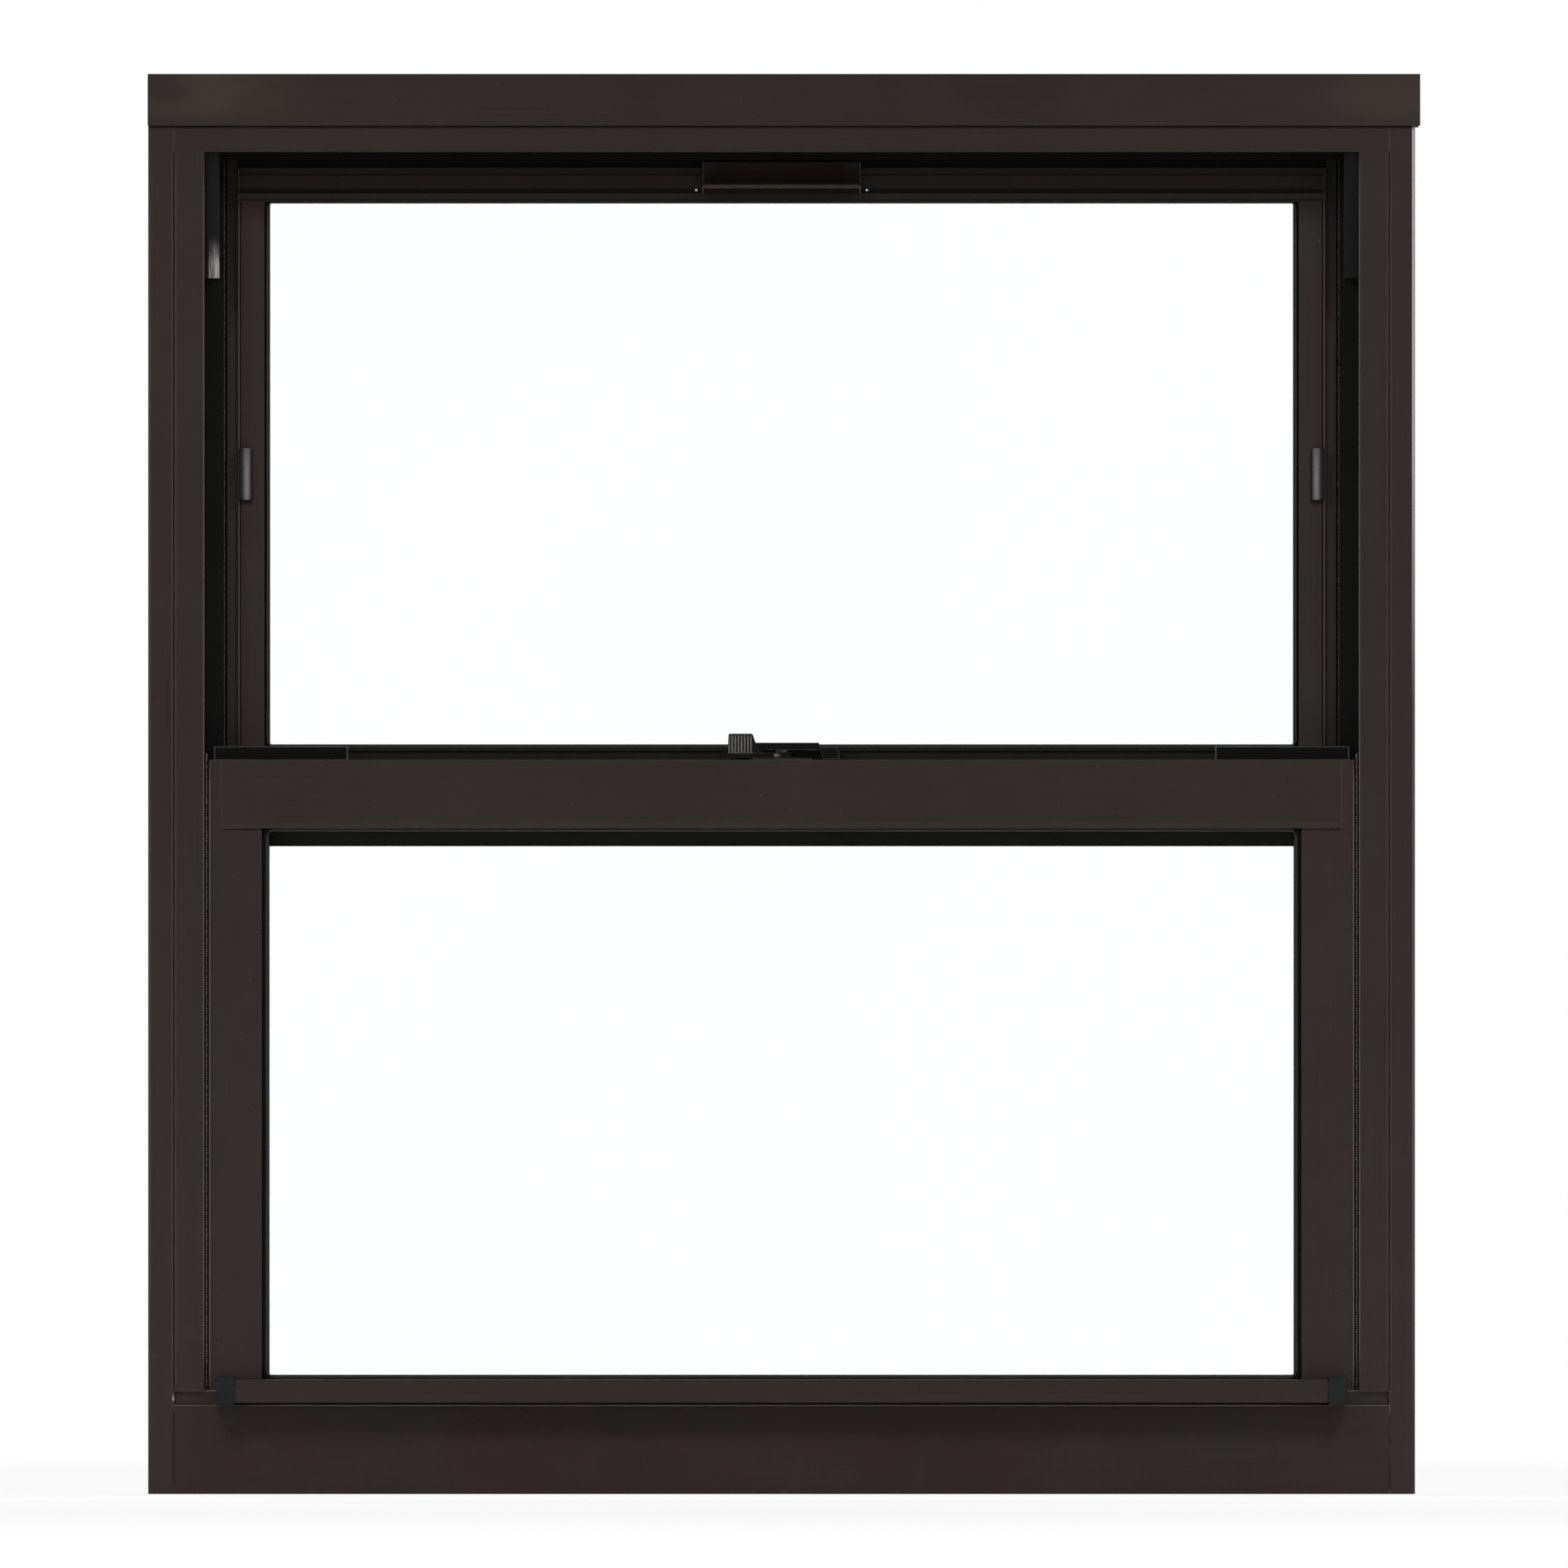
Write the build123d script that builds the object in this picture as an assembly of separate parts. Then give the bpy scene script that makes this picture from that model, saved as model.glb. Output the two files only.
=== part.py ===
from build123d import *
import os

# Double hung tilt window in dark bronze aluminium, shut and locked.
# Millimetres. +X is right as seen from the room, +Y is outdoors, +Z is up.
# The origin is the middle of the sill's underside.

# Frame
FRAME_WIDTH = 910.0
FRAME_WALL = 2.4
EDGE_RADIUS = 0.5
JAMB_TUBE_FACE = 18.5
JAMB_LEG_FACE = 21.8
JAMB_EDGE_RADIUS = 3.0
FACE_GROOVE = 0.9
FRONT_LEG_DEPTH = 15.4
TRACK_FLOOR_INSET = 11.3
HEAD_FACE = 18.9
HEAD_CEILING_RISE = 8.1
HEAD_PARTING_DROP = 13.0
EXTERIOR_LEG_DEPTH = 7.5
EXTERIOR_GAP = 1.5
EXTERIOR_HEAD_LAP = 21.2
EXTERIOR_LAP = 9.4
PARTING_LEG_DEPTH = 6.0
PARTING_TIP = 3.6
PARTING_GAP = 2.0
PARTING_SIDE_GAP = 2.5

# Sill
SILL_FACE = 64.1
SILL_LIP = 10.5
SILL_LIP_SET_BACK = 3.0
SILL_UPSTAND = 24.6
SILL_STEP = 6.0
SILL_FALL = 16.0

# Head receptor
UNIT_HEIGHT = 1020.0
RECEPTOR_HEIGHT = 37.2
RECEPTOR_LEFT_LAP = 0.3
RECEPTOR_RIGHT_LAP = 3.7
RECEPTOR_WALL = 2.7
RECEPTOR_PLAY = 0.3

# Sashes and their insulated glass
SASH_DEPTH = 38.0
SASH_WALL = 2.4
SASH_SET_BACK = 7.0
SASH_SPACING = 10.0
SASH_SIDE_GAP = 3.2
GLASS_BITE = 10.2
GLASS_EDGE_PLAY = 2.0
GLASS_UNIT_THICK = 25.0
GLASS_LITE = 4.0
SPACER_WIDTH = 7.0
FRONT_LIP_THICK = 3.0
FRONT_SEAL_THICK = 3.5
BACK_SEAL_THICK = 3.0
SEAL_CORNER_RADIUS = 1.2

# Lower sash
LOWER_SASH_HEIGHT = 477.5
LOWER_TOP_RAIL = 49.2
LOWER_LIP_FLARE = 1.5
LOWER_LIP_HEIGHT = 4.3
LOWER_LIP_TIP = 0.8
LOWER_BOTTOM_RAIL = 30.0
LOWER_STILE_FACE = 38.1
LOWER_STILE_STRIP = 9.3
LOWER_SEAL_SHOW = 5.4
LOWER_TOP_SEAL_SHOW = 2.3

# Upper sash
UPPER_MEETING_DROP = 62.3
UPPER_HEAD_PLAY = 4.0
UPPER_TOP_RAIL = 39.3
UPPER_SIDE_INSET = 12.1
UPPER_SIGHT_RISE = 11.1
UPPER_STILE_STRIP = 8.3
UPPER_STRIP_RECESS = 3.0
UPPER_STILE_SEAL_SHOW = 3.9
UPPER_RAIL_SEAL_SHOW = 2.3
UPPER_TOP_SEAL_SHOW = 1.0
UPPER_FASCIA = 2.2
UPPER_BEAD = 4.1
UPPER_GROOVE = 2.9
UPPER_PANEL = 10.4
UPPER_LIP = 5.3
UPPER_BEAD_PROUD = 1.2
UPPER_GROOVE_DEPTH = 1.8
UPPER_PANEL_DEPTH = 0.9
UPPER_BACK_STEP = 10.0
STILE_GROOVE_INSET = 2.1
MEETING_BEAD = 2.9

# Interlock between the meeting rails
HOOK_THICK = 2.0
HOOK_DROP = 34.5
HOOK_LAP = 1.5
HOOK_RISE = 8.0
HOOK_REACH = 7.5

# Track liners, stops, seals and shoes
LINER_THICK = 1.6
STOP_LENGTH = 90.4
STOP_WALL = 2.4
STOP_DEPTH = 23.0
STOP_OVERLAP = 7.5
STOP_BACK_GAP = 1.4
STOP_RIBS = 3
STOP_RIB_PITCH = 2.8
STOP_RIB_GAP = 0.8
STOP_RIB_DEPTH = 0.5
PILE_WIDTH = 4.0
PILE_SEAT = 1.2
PILE_PLAY = 0.4
SHOE_DEPTH = 22.0
SHOE_HEIGHT = 38.0
SHOE_RADIUS = 2.0

# Lift bar
LIFT_END_INSET = 5.4
LIFT_CAP = 13.0
LIFT_RISE = 2.5
LIFT_HEIGHT = 16.5
LIFT_REACH = 26.0
LIFT_WALL = 2.4
LIFT_FACET_RUN = 7.0
LIFT_FACET_DROP = 8.5
LIFT_CAP_PROUD = 1.9
LIFT_CAP_RADIUS = 1.0
LIFT_SILL_PLAY = 1.0

# Tilt latch
LATCH_INSET = 3.0
LATCH_LENGTH = 97.0
LATCH_HEIGHT = 9.7
LATCH_DEPTH = 20.0
LATCH_RADIUS = 2.0
LATCH_BOLT_PLAY = 3.4
LATCH_BOLT_DEPTH = 9.0
LATCH_BOLT_HEIGHT = 5.5
THUMB_INSET = 8.0
THUMB_LENGTH = 24.0
THUMB_WIDTH = 10.0
THUMB_DEPTH = 1.5

# Sash lock
LOCK_PIVOT_SET_BACK = 20.0
LOCK_PLATE = 1.2
LOCK_PLATE_HALF = 22.0
LOCK_PLATE_DEPTH = 20.0
LOCK_PLATE_RADIUS = 5.0
PIVOT_RADIUS = 3.0
PIVOT_PLAY = 0.08
RIVET_RADIUS = 4.6
RIVET_HEIGHT = 1.5
RIVET_ROUND = 0.9
LEVER_PLAY = 0.4
LEVER_THICK = 3.5
LEVER_HUB_RADIUS = 8.0
LEVER_LENGTH = 38.8
LEVER_WIDTH = 8.0
GRIP_LENGTH = 17.9
GRIP_TOP = 18.7
GRIP_RIBS = 8
GRIP_RIB_DEPTH = 0.7
GRIP_RADIUS = 1.5
GRIP_TAPER = 0.6
GRIP_RIM = 1.0
NECK_LENGTH = 8.0
NECK_FLANK_RUN = 2.3
NECK_FLANK_RISE = 6.9
NECK_MIDDLE_RUN = 5.0
NECK_MIDDLE_RISE = 1.8
CAM_REACH = 20.0
CAM_HALF = 8.0
CAM_RADIUS = 2.5

# Keeper
KEEPER_HALF = 42.0
KEEPER_EAR_SLOPE = 1.6
KEEPER_BRIDGE_HALF = 28.0
KEEPER_BRIDGE_SLOPE = 1.1
KEEPER_EAR_HEIGHT = 8.7
KEEPER_BRIDGE_HEIGHT = 12.2
KEEPER_REACH = 16.0
KEEPER_LIFT = 0.8
KEEPER_MOUTH_HALF = 29.6
KEEPER_MOUTH_SLOPE = 1.7
KEEPER_MOUTH_HEIGHT = 6.9
KEEPER_BACK = 5.5
KEEPER_RADIUS = 1.0

# Sash pull and vent stops
PULL_HALF = 57.0
PULL_HEAD_GAP = 1.5
PULL_HEIGHT = 23.0
PULL_PLATE = 3.0
PULL_NOSE = 12.0
PULL_NOSE_RISE = 4.1
PULL_NOSE_HEIGHT = 7.4
PULL_TIP = 1.6
VENT_EDGE_INSET = 0.8
VENT_WIDTH = 8.9
VENT_RISE = 186.6
VENT_HEIGHT = 37.4
VENT_PROUD = 5.0
VENT_SIDE = 3.2
VENT_END_RADIUS = 0.8

# Derived places
frame_half = FRAME_WIDTH / 2
frame_depth = SASH_SET_BACK + 2 * SASH_DEPTH + SASH_SPACING + EXTERIOR_GAP + EXTERIOR_LEG_DEPTH
room_face = -frame_depth / 2
outdoor_face = frame_depth / 2
tube_inner = frame_half - JAMB_TUBE_FACE
leg_tip = tube_inner - JAMB_LEG_FACE
track_floor = leg_tip + TRACK_FLOOR_INSET
front_leg_back = room_face + FRONT_LEG_DEPTH
receptor_bottom = UNIT_HEIGHT - RECEPTOR_HEIGHT
frame_top = UNIT_HEIGHT - RECEPTOR_WALL
head_face_bottom = receptor_bottom - HEAD_FACE
head_ceiling = head_face_bottom + HEAD_CEILING_RISE
parting_bottom = head_ceiling - HEAD_PARTING_DROP
sill_top = SILL_FACE + SILL_LIP
sill_inner_floor = sill_top - SILL_UPSTAND
sill_lip_back = room_face + SILL_LIP_SET_BACK + FRAME_WALL

lower_half = leg_tip - SASH_SIDE_GAP
lower_face = room_face + SASH_SET_BACK
lower_back = lower_face + SASH_DEPTH
lower_rail_end = lower_half - LOWER_STILE_STRIP
lower_top = sill_inner_floor + LOWER_SASH_HEIGHT
lower_rail_bottom = lower_top - LOWER_TOP_RAIL
lower_daylight_top = lower_rail_bottom - LOWER_TOP_SEAL_SHOW
lower_base_top = sill_inner_floor + LOWER_BOTTOM_RAIL
lower_daylight_bottom = lower_base_top + LOWER_SEAL_SHOW
lower_stile_inner = lower_half - LOWER_STILE_FACE
daylight_half = lower_stile_inner - LOWER_SEAL_SHOW

upper_face = lower_back + SASH_SPACING
upper_back = upper_face + SASH_DEPTH
parting_front = upper_face - PARTING_GAP - PARTING_LEG_DEPTH
parting_back = parting_front + PARTING_LEG_DEPTH
exterior_front = outdoor_face - EXTERIOR_LEG_DEPTH
upper_stile_inner = daylight_half + UPPER_STILE_SEAL_SHOW
upper_half = lower_half - UPPER_SIDE_INSET
upper_rail_end = upper_half - UPPER_STILE_STRIP
upper_bottom = lower_top - UPPER_MEETING_DROP
upper_top = head_ceiling - UPPER_HEAD_PLAY
upper_daylight_bottom = lower_top + UPPER_SIGHT_RISE
upper_base_top = upper_daylight_bottom - UPPER_RAIL_SEAL_SHOW
upper_rail_bottom = upper_top - UPPER_TOP_RAIL
upper_daylight_top = upper_rail_bottom - UPPER_TOP_SEAL_SHOW
parting_tip = upper_half + PARTING_SIDE_GAP
exterior_tip = upper_half - EXTERIOR_LAP
glass_half = daylight_half + GLASS_BITE
pocket_half = glass_half + GLASS_EDGE_PLAY

os.makedirs("parts", exist_ok=True)


def block(a0, a1, b0, b1):
    """Rectangle in a profile plane between two limits each way."""
    return Pos((a0 + a1) / 2, (b0 + b1) / 2) * Rectangle(a1 - a0, b1 - b0)


def outline(*points):
    """Closed straight-sided profile."""
    return make_face(Polyline(*points, close=True))


def ease(profile, radius, *points):
    """Profile with its corners at the given points rounded."""
    return fillet([profile.vertices().sort_by_distance(Vector(*point))[0] for point in points], radius)


def along_x(profile, x0, x1):
    """Carries a profile drawn in Y and Z from x0 to x1."""
    plane = Plane(origin=(x0, 0, 0), x_dir=(0, 1, 0), z_dir=(1, 0, 0))
    return extrude(plane * profile, x1 - x0)


def along_y(profile, y0, y1):
    """Carries a profile drawn in X and Z from y0 to y1."""
    plane = Plane(origin=(0, y1, 0), x_dir=(1, 0, 0), z_dir=(0, -1, 0))
    return extrude(plane * profile, y1 - y0)


def along_z(profile, z0, z1):
    """Carries a profile drawn in X and Y from z0 to z1."""
    return extrude(Plane.XY.offset(z0) * profile, z1 - z0)


def save(name, shape):
    """Writes one node."""
    shape.label = name
    export_step(shape, "parts/" + name + ".step")


def save_pair(name, right):
    """Writes the right-hand piece and its mirror image."""
    save("right_" + name, right)
    save("left_" + name, mirror(right, about=Plane.YZ))


def notch(x0, x1, y0, y1, z0, z1):
    """Straight cut for a coped joint."""
    return along_z(block(x0, x1, y0, y1), z0, z1)


# Sill: front wall, set-back lip, seat for the lower sash, sloped outdoor floor, closed base
sill_profile = block(room_face, room_face + FRAME_WALL, 0, SILL_FACE)
sill_profile += block(room_face, sill_lip_back, SILL_FACE - FRAME_WALL, SILL_FACE)
sill_profile += block(sill_lip_back - FRAME_WALL, sill_lip_back, SILL_FACE - FRAME_WALL, sill_top)
sill_web = parting_front + FRAME_WALL
sill_profile += block(room_face, sill_web, sill_inner_floor - FRAME_WALL, sill_inner_floor)
sill_profile += block(sill_web - FRAME_WALL, sill_web, 0, sill_inner_floor)
slope_top = sill_inner_floor - SILL_STEP
slope_end = slope_top - SILL_FALL
sill_profile += outline((sill_web - FRAME_WALL, slope_top), (outdoor_face, slope_end),
                        (outdoor_face, slope_end - FRAME_WALL),
                        (sill_web - FRAME_WALL, slope_top - FRAME_WALL))
sill_profile += block(outdoor_face - FRAME_WALL, outdoor_face, 0, slope_end)
sill_profile += block(room_face, outdoor_face, 0, FRAME_WALL)
sill_profile = ease(sill_profile, EDGE_RADIUS, (room_face, SILL_FACE), (outdoor_face, slope_end),
                    (sill_lip_back - FRAME_WALL, sill_top), (sill_lip_back, sill_top))
save("sill", along_x(sill_profile, -tube_inner, tube_inner))

# Jamb: full-height tube, and legs coped over the sill and under the head
jamb_tube = block(tube_inner, frame_half, room_face, outdoor_face)
jamb_tube = fillet(jamb_tube.vertices().group_by(Axis.X)[-1], JAMB_EDGE_RADIUS)
jamb_tube -= block(tube_inner + FRAME_WALL, frame_half - FRAME_WALL,
                   room_face + FRAME_WALL, outdoor_face - FRAME_WALL)
jamb_legs = block(leg_tip, tube_inner, room_face, room_face + FRAME_WALL)
jamb_legs += block(leg_tip, leg_tip + FRAME_WALL, room_face, front_leg_back)
jamb_legs += block(leg_tip, track_floor + FRAME_WALL, front_leg_back - FRAME_WALL, front_leg_back)
jamb_legs += block(track_floor, track_floor + FRAME_WALL, front_leg_back - FRAME_WALL,
                   exterior_front + FRAME_WALL)
jamb_legs += block(parting_tip, track_floor, parting_front, parting_front + FRAME_WALL)
jamb_legs += block(parting_tip, parting_tip + PARTING_TIP, parting_front, parting_back)
jamb_legs += block(exterior_tip, tube_inner, outdoor_face - FRAME_WALL, outdoor_face)
jamb_legs += block(exterior_tip, exterior_tip + FRAME_WALL, exterior_front, outdoor_face)
jamb_legs += block(exterior_tip, track_floor, exterior_front, exterior_front + FRAME_WALL)
front_pile_y = lower_face
parting_pile_y = (parting_front + parting_back) / 2 - PILE_WIDTH / 2
outer_pile_x = exterior_tip + FRAME_WALL
jamb_legs = ease(jamb_legs, EDGE_RADIUS, (leg_tip, room_face), (exterior_tip, outdoor_face))
jamb_legs -= block(leg_tip, leg_tip + PILE_SEAT, front_pile_y, front_pile_y + PILE_WIDTH)
jamb_legs -= block(parting_tip, parting_tip + PILE_SEAT, parting_pile_y, parting_pile_y + PILE_WIDTH)
jamb_legs -= block(outer_pile_x, outer_pile_x + PILE_WIDTH, exterior_front, exterior_front + PILE_SEAT)
sill_envelope = outline((room_face, 0), (room_face, sill_top), (sill_lip_back, sill_top),
                        (sill_lip_back, sill_inner_floor), (sill_web, sill_inner_floor),
                        (sill_web, slope_top - FRAME_WALL), (sill_web, slope_top),
                        (outdoor_face, slope_end), (outdoor_face, 0))
head_envelope = outline((room_face, head_face_bottom), (front_leg_back, head_face_bottom),
                        (front_leg_back, head_ceiling), (exterior_front, head_ceiling),
                        (exterior_front, head_face_bottom), (outdoor_face, head_face_bottom),
                        (outdoor_face, frame_top), (room_face, frame_top))
right_legs = along_z(jamb_legs, 0, frame_top)
right_legs -= along_x(sill_envelope, 0, tube_inner)
right_legs -= along_x(head_envelope, 0, tube_inner)
face_groove = outline((tube_inner - FACE_GROOVE / 2, room_face), (tube_inner, room_face + FACE_GROOVE),
                      (tube_inner + FACE_GROOVE / 2, room_face))
right_jamb = along_z(jamb_tube, 0, frame_top) + right_legs
right_jamb -= along_z(face_groove, sill_top, head_face_bottom)
save_pair("jamb", right_jamb)

# Head: box with front, parting and exterior legs, coped between the jambs' legs
head_profile = block(room_face, room_face + FRAME_WALL, head_face_bottom, frame_top)
head_profile += block(room_face, front_leg_back, head_face_bottom, head_face_bottom + FRAME_WALL)
head_profile += block(front_leg_back - FRAME_WALL, front_leg_back, head_face_bottom,
                      head_ceiling + FRAME_WALL)
head_profile += block(front_leg_back - FRAME_WALL, exterior_front + FRAME_WALL, head_ceiling,
                      head_ceiling + FRAME_WALL)
head_profile += block(parting_front, parting_front + FRAME_WALL, parting_bottom, head_ceiling)
head_profile += block(parting_front, parting_back, parting_bottom, parting_bottom + PARTING_TIP)
exterior_bottom = upper_top - EXTERIOR_HEAD_LAP
head_profile += block(outdoor_face - FRAME_WALL, outdoor_face, exterior_bottom, frame_top)
head_profile += block(exterior_front, outdoor_face, exterior_bottom, exterior_bottom + FRAME_WALL)
head_profile += block(exterior_front, exterior_front + FRAME_WALL, exterior_bottom, head_ceiling)
head_profile += block(room_face, outdoor_face, frame_top - FRAME_WALL, frame_top)
head_profile = ease(head_profile, EDGE_RADIUS, (room_face, head_face_bottom),
                    (front_leg_back, head_face_bottom), (outdoor_face, exterior_bottom))
frame_head = along_x(head_profile, -tube_inner, tube_inner)
for side in (-1, 1):
    frame_head -= notch(*sorted((side * parting_tip, side * tube_inner)), parting_front, parting_back,
                        parting_bottom, head_ceiling)
    frame_head -= notch(*sorted((side * exterior_tip, side * tube_inner)), exterior_front, outdoor_face,
                        exterior_bottom, head_face_bottom)
save("frame_head", frame_head)

# Receptor: inverted channel over the head and the tops of the jamb tubes
receptor_face = room_face - RECEPTOR_PLAY - RECEPTOR_WALL
receptor_profile = block(receptor_face, -receptor_face, receptor_bottom, UNIT_HEIGHT)
receptor_profile = fillet(receptor_profile.vertices(), EDGE_RADIUS)
receptor_profile -= block(receptor_face + RECEPTOR_WALL, -receptor_face - RECEPTOR_WALL,
                          receptor_bottom, frame_top)
save("head_receptor", along_x(receptor_profile, -frame_half - RECEPTOR_LEFT_LAP,
                              frame_half + RECEPTOR_RIGHT_LAP))

# Track liner: black angle on the room-side track's floor and along the parting leg
liner_face = track_floor - LINER_THICK
liner = block(liner_face, track_floor, front_leg_back, parting_front)
liner += block(parting_tip, track_floor, parting_front - LINER_THICK, parting_front)
save_pair("jamb_liner", along_z(liner, sill_inner_floor, head_face_bottom))

# Sash stop: ribbed channel at the top of the room-side track with a closed foot
stop_back = parting_front - LINER_THICK - STOP_BACK_GAP
stop_front = stop_back - STOP_DEPTH
stop_tip = lower_half - STOP_OVERLAP
stop_bottom = head_face_bottom - STOP_LENGTH
stop_section = ease(block(stop_tip, liner_face, stop_front, stop_back), EDGE_RADIUS,
                    (stop_tip, stop_front), (stop_tip, stop_back))
for rib in range(STOP_RIBS):
    rib_edge = stop_tip + (rib + 1) * STOP_RIB_PITCH
    stop_section -= block(rib_edge - STOP_RIB_GAP, rib_edge, stop_front, stop_front + STOP_RIB_DEPTH)
stop_inside = block(stop_tip, liner_face - STOP_WALL, stop_front + STOP_WALL, stop_back - STOP_WALL)
stop_shape = along_z(stop_section, stop_bottom, head_face_bottom)
stop_shape -= along_z(stop_inside, stop_bottom + STOP_WALL, head_face_bottom)
save_pair("sash_stop", stop_shape)

# Pile seals in the legs of the jamb
front_pile = along_z(block(lower_half + PILE_PLAY, leg_tip + PILE_SEAT, front_pile_y,
                           front_pile_y + PILE_WIDTH), sill_top, head_face_bottom)
parting_pile = along_z(block(upper_half + PILE_PLAY, parting_tip + PILE_SEAT, parting_pile_y,
                             parting_pile_y + PILE_WIDTH), sill_inner_floor, parting_bottom)
outer_pile = along_z(block(outer_pile_x, outer_pile_x + PILE_WIDTH, upper_back + PILE_PLAY,
                           exterior_front + PILE_SEAT), sill_inner_floor, head_face_bottom)
save_pair("pile_seals", Compound(children=[front_pile, parting_pile, outer_pile]))


def sash_glass(face, bottom, top):
    """Two lites, their spacer and the two seals of one sash, from its daylight opening."""
    inner = face + FRONT_LIP_THICK + FRONT_SEAL_THICK
    outer = inner + GLASS_UNIT_THICK
    low = bottom - GLASS_BITE
    high = top + GLASS_BITE
    pane = block(-glass_half, glass_half, low, high)
    lites = Compound(children=[along_y(pane, inner, inner + GLASS_LITE),
                               along_y(pane, outer - GLASS_LITE, outer)])
    ring = pane - block(SPACER_WIDTH - glass_half, glass_half - SPACER_WIDTH,
                        low + SPACER_WIDTH, high - SPACER_WIDTH)
    spacer = along_y(ring, inner + GLASS_LITE, outer - GLASS_LITE)
    daylight = Pos(0, (bottom + top) / 2) * RectangleRounded(2 * daylight_half, top - bottom,
                                                             SEAL_CORNER_RADIUS)
    seal = pane - daylight
    room_seal = along_y(seal, inner - FRONT_SEAL_THICK, inner)
    outdoor_seal = along_y(seal, outer, outer + BACK_SEAL_THICK)
    return lites, spacer, room_seal, outdoor_seal


def tube_void(a0, a1, b0, b1):
    """Inside of a tube of the sash's wall thickness."""
    return block(a0 + SASH_WALL, a1 - SASH_WALL, b0 + SASH_WALL, b1 - SASH_WALL)


seal_room = FRONT_LIP_THICK
seal_out = FRONT_LIP_THICK + FRONT_SEAL_THICK + GLASS_UNIT_THICK + BACK_SEAL_THICK

# Lower sash stiles
lower_pocket = (lower_face + seal_room, lower_face + seal_out)
stile = block(lower_stile_inner, lower_half, lower_face, lower_back)
stile = fillet(stile.vertices(), EDGE_RADIUS)
stile -= block(lower_stile_inner, pocket_half, *lower_pocket)
stile -= tube_void(pocket_half, lower_half, lower_face, lower_back)
right_stile = along_z(stile, sill_inner_floor, lower_top)
right_stile -= notch(0, lower_rail_end, lower_face, lower_back, lower_rail_bottom, lower_top)
right_stile -= notch(0, lower_rail_end, lower_face, lower_back, sill_inner_floor, lower_base_top)
save("lower_right_stile", right_stile)
save("lower_left_stile", mirror(right_stile, about=Plane.YZ))

# Lower meeting rail with its flared lip and interlock hook
lower_glass_top = lower_daylight_top + GLASS_BITE + GLASS_EDGE_PLAY
lip_top = lower_rail_bottom + LOWER_LIP_HEIGHT
rail = outline((lower_face, lower_top), (lower_face, lip_top),
               (lower_face - LOWER_LIP_FLARE, lower_rail_bottom + LOWER_LIP_TIP),
               (lower_face - LOWER_LIP_FLARE, lower_rail_bottom), (lower_back, lower_rail_bottom),
               (lower_back, lower_top))
rail = ease(rail, EDGE_RADIUS, (lower_face, lower_top), (lower_back, lower_top))
rail -= block(*lower_pocket, lower_rail_bottom, lower_glass_top)
rail -= tube_void(lower_face, lower_back, lower_glass_top, lower_top)
hook_level = lower_top - HOOK_DROP
hook_high = hook_level + HOOK_RISE
hook = block(lower_back, lower_back + HOOK_REACH, hook_high - HOOK_THICK, hook_high)
hook += block(lower_back + HOOK_REACH - HOOK_THICK, lower_back + HOOK_REACH,
              hook_level - HOOK_LAP / 2, hook_high)
meeting_rail = along_x(rail, -lower_rail_end, lower_rail_end)
meeting_rail += along_x(hook, -upper_rail_end, upper_rail_end)
save("lower_meeting_rail", meeting_rail)

# Lower bottom rail, standing on the sill's inner floor
lower_glass_low = lower_daylight_bottom - GLASS_BITE - GLASS_EDGE_PLAY
rail = block(lower_face, lower_back, sill_inner_floor, lower_base_top)
rail = ease(rail, EDGE_RADIUS, (lower_face, lower_base_top), (lower_back, lower_base_top))
rail -= block(*lower_pocket, lower_glass_low, lower_base_top)
rail -= tube_void(lower_face, lower_back, sill_inner_floor, lower_glass_low)
save("lower_bottom_rail", along_x(rail, -lower_rail_end, lower_rail_end))

lites, spacer, room_seal, outdoor_seal = sash_glass(lower_face, lower_daylight_bottom, lower_daylight_top)
save("lower_glass", lites)
save("lower_spacer", spacer)
save("lower_inner_gasket", room_seal)
save("lower_outer_gasket", outdoor_seal)

# Upper sash stiles with a set-back outer strip and a fine groove
upper_pocket = (upper_face + seal_room, upper_face + seal_out)
stile = outline((upper_stile_inner, upper_face), (upper_rail_end, upper_face),
                (upper_rail_end, upper_face + UPPER_STRIP_RECESS),
                (upper_half, upper_face + UPPER_STRIP_RECESS),
                (upper_half, upper_back), (upper_stile_inner, upper_back))
stile = fillet(stile.vertices(), EDGE_RADIUS)
stile -= block(upper_stile_inner, pocket_half, *upper_pocket)
stile -= tube_void(pocket_half, upper_half, upper_face + UPPER_STRIP_RECESS, upper_back)
stile_groove = upper_rail_end - STILE_GROOVE_INSET
stile -= outline((stile_groove - FACE_GROOVE / 2, upper_face), (stile_groove, upper_face + FACE_GROOVE),
                 (stile_groove + FACE_GROOVE / 2, upper_face))
right_stile = along_z(stile, upper_bottom, upper_top)
right_stile -= notch(0, upper_rail_end, upper_face, upper_back, upper_rail_bottom, upper_top)
right_stile -= notch(0, upper_rail_end, upper_face, upper_back, upper_bottom, upper_base_top)
save("upper_right_stile", right_stile)
save("upper_left_stile", mirror(right_stile, about=Plane.YZ))

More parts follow.
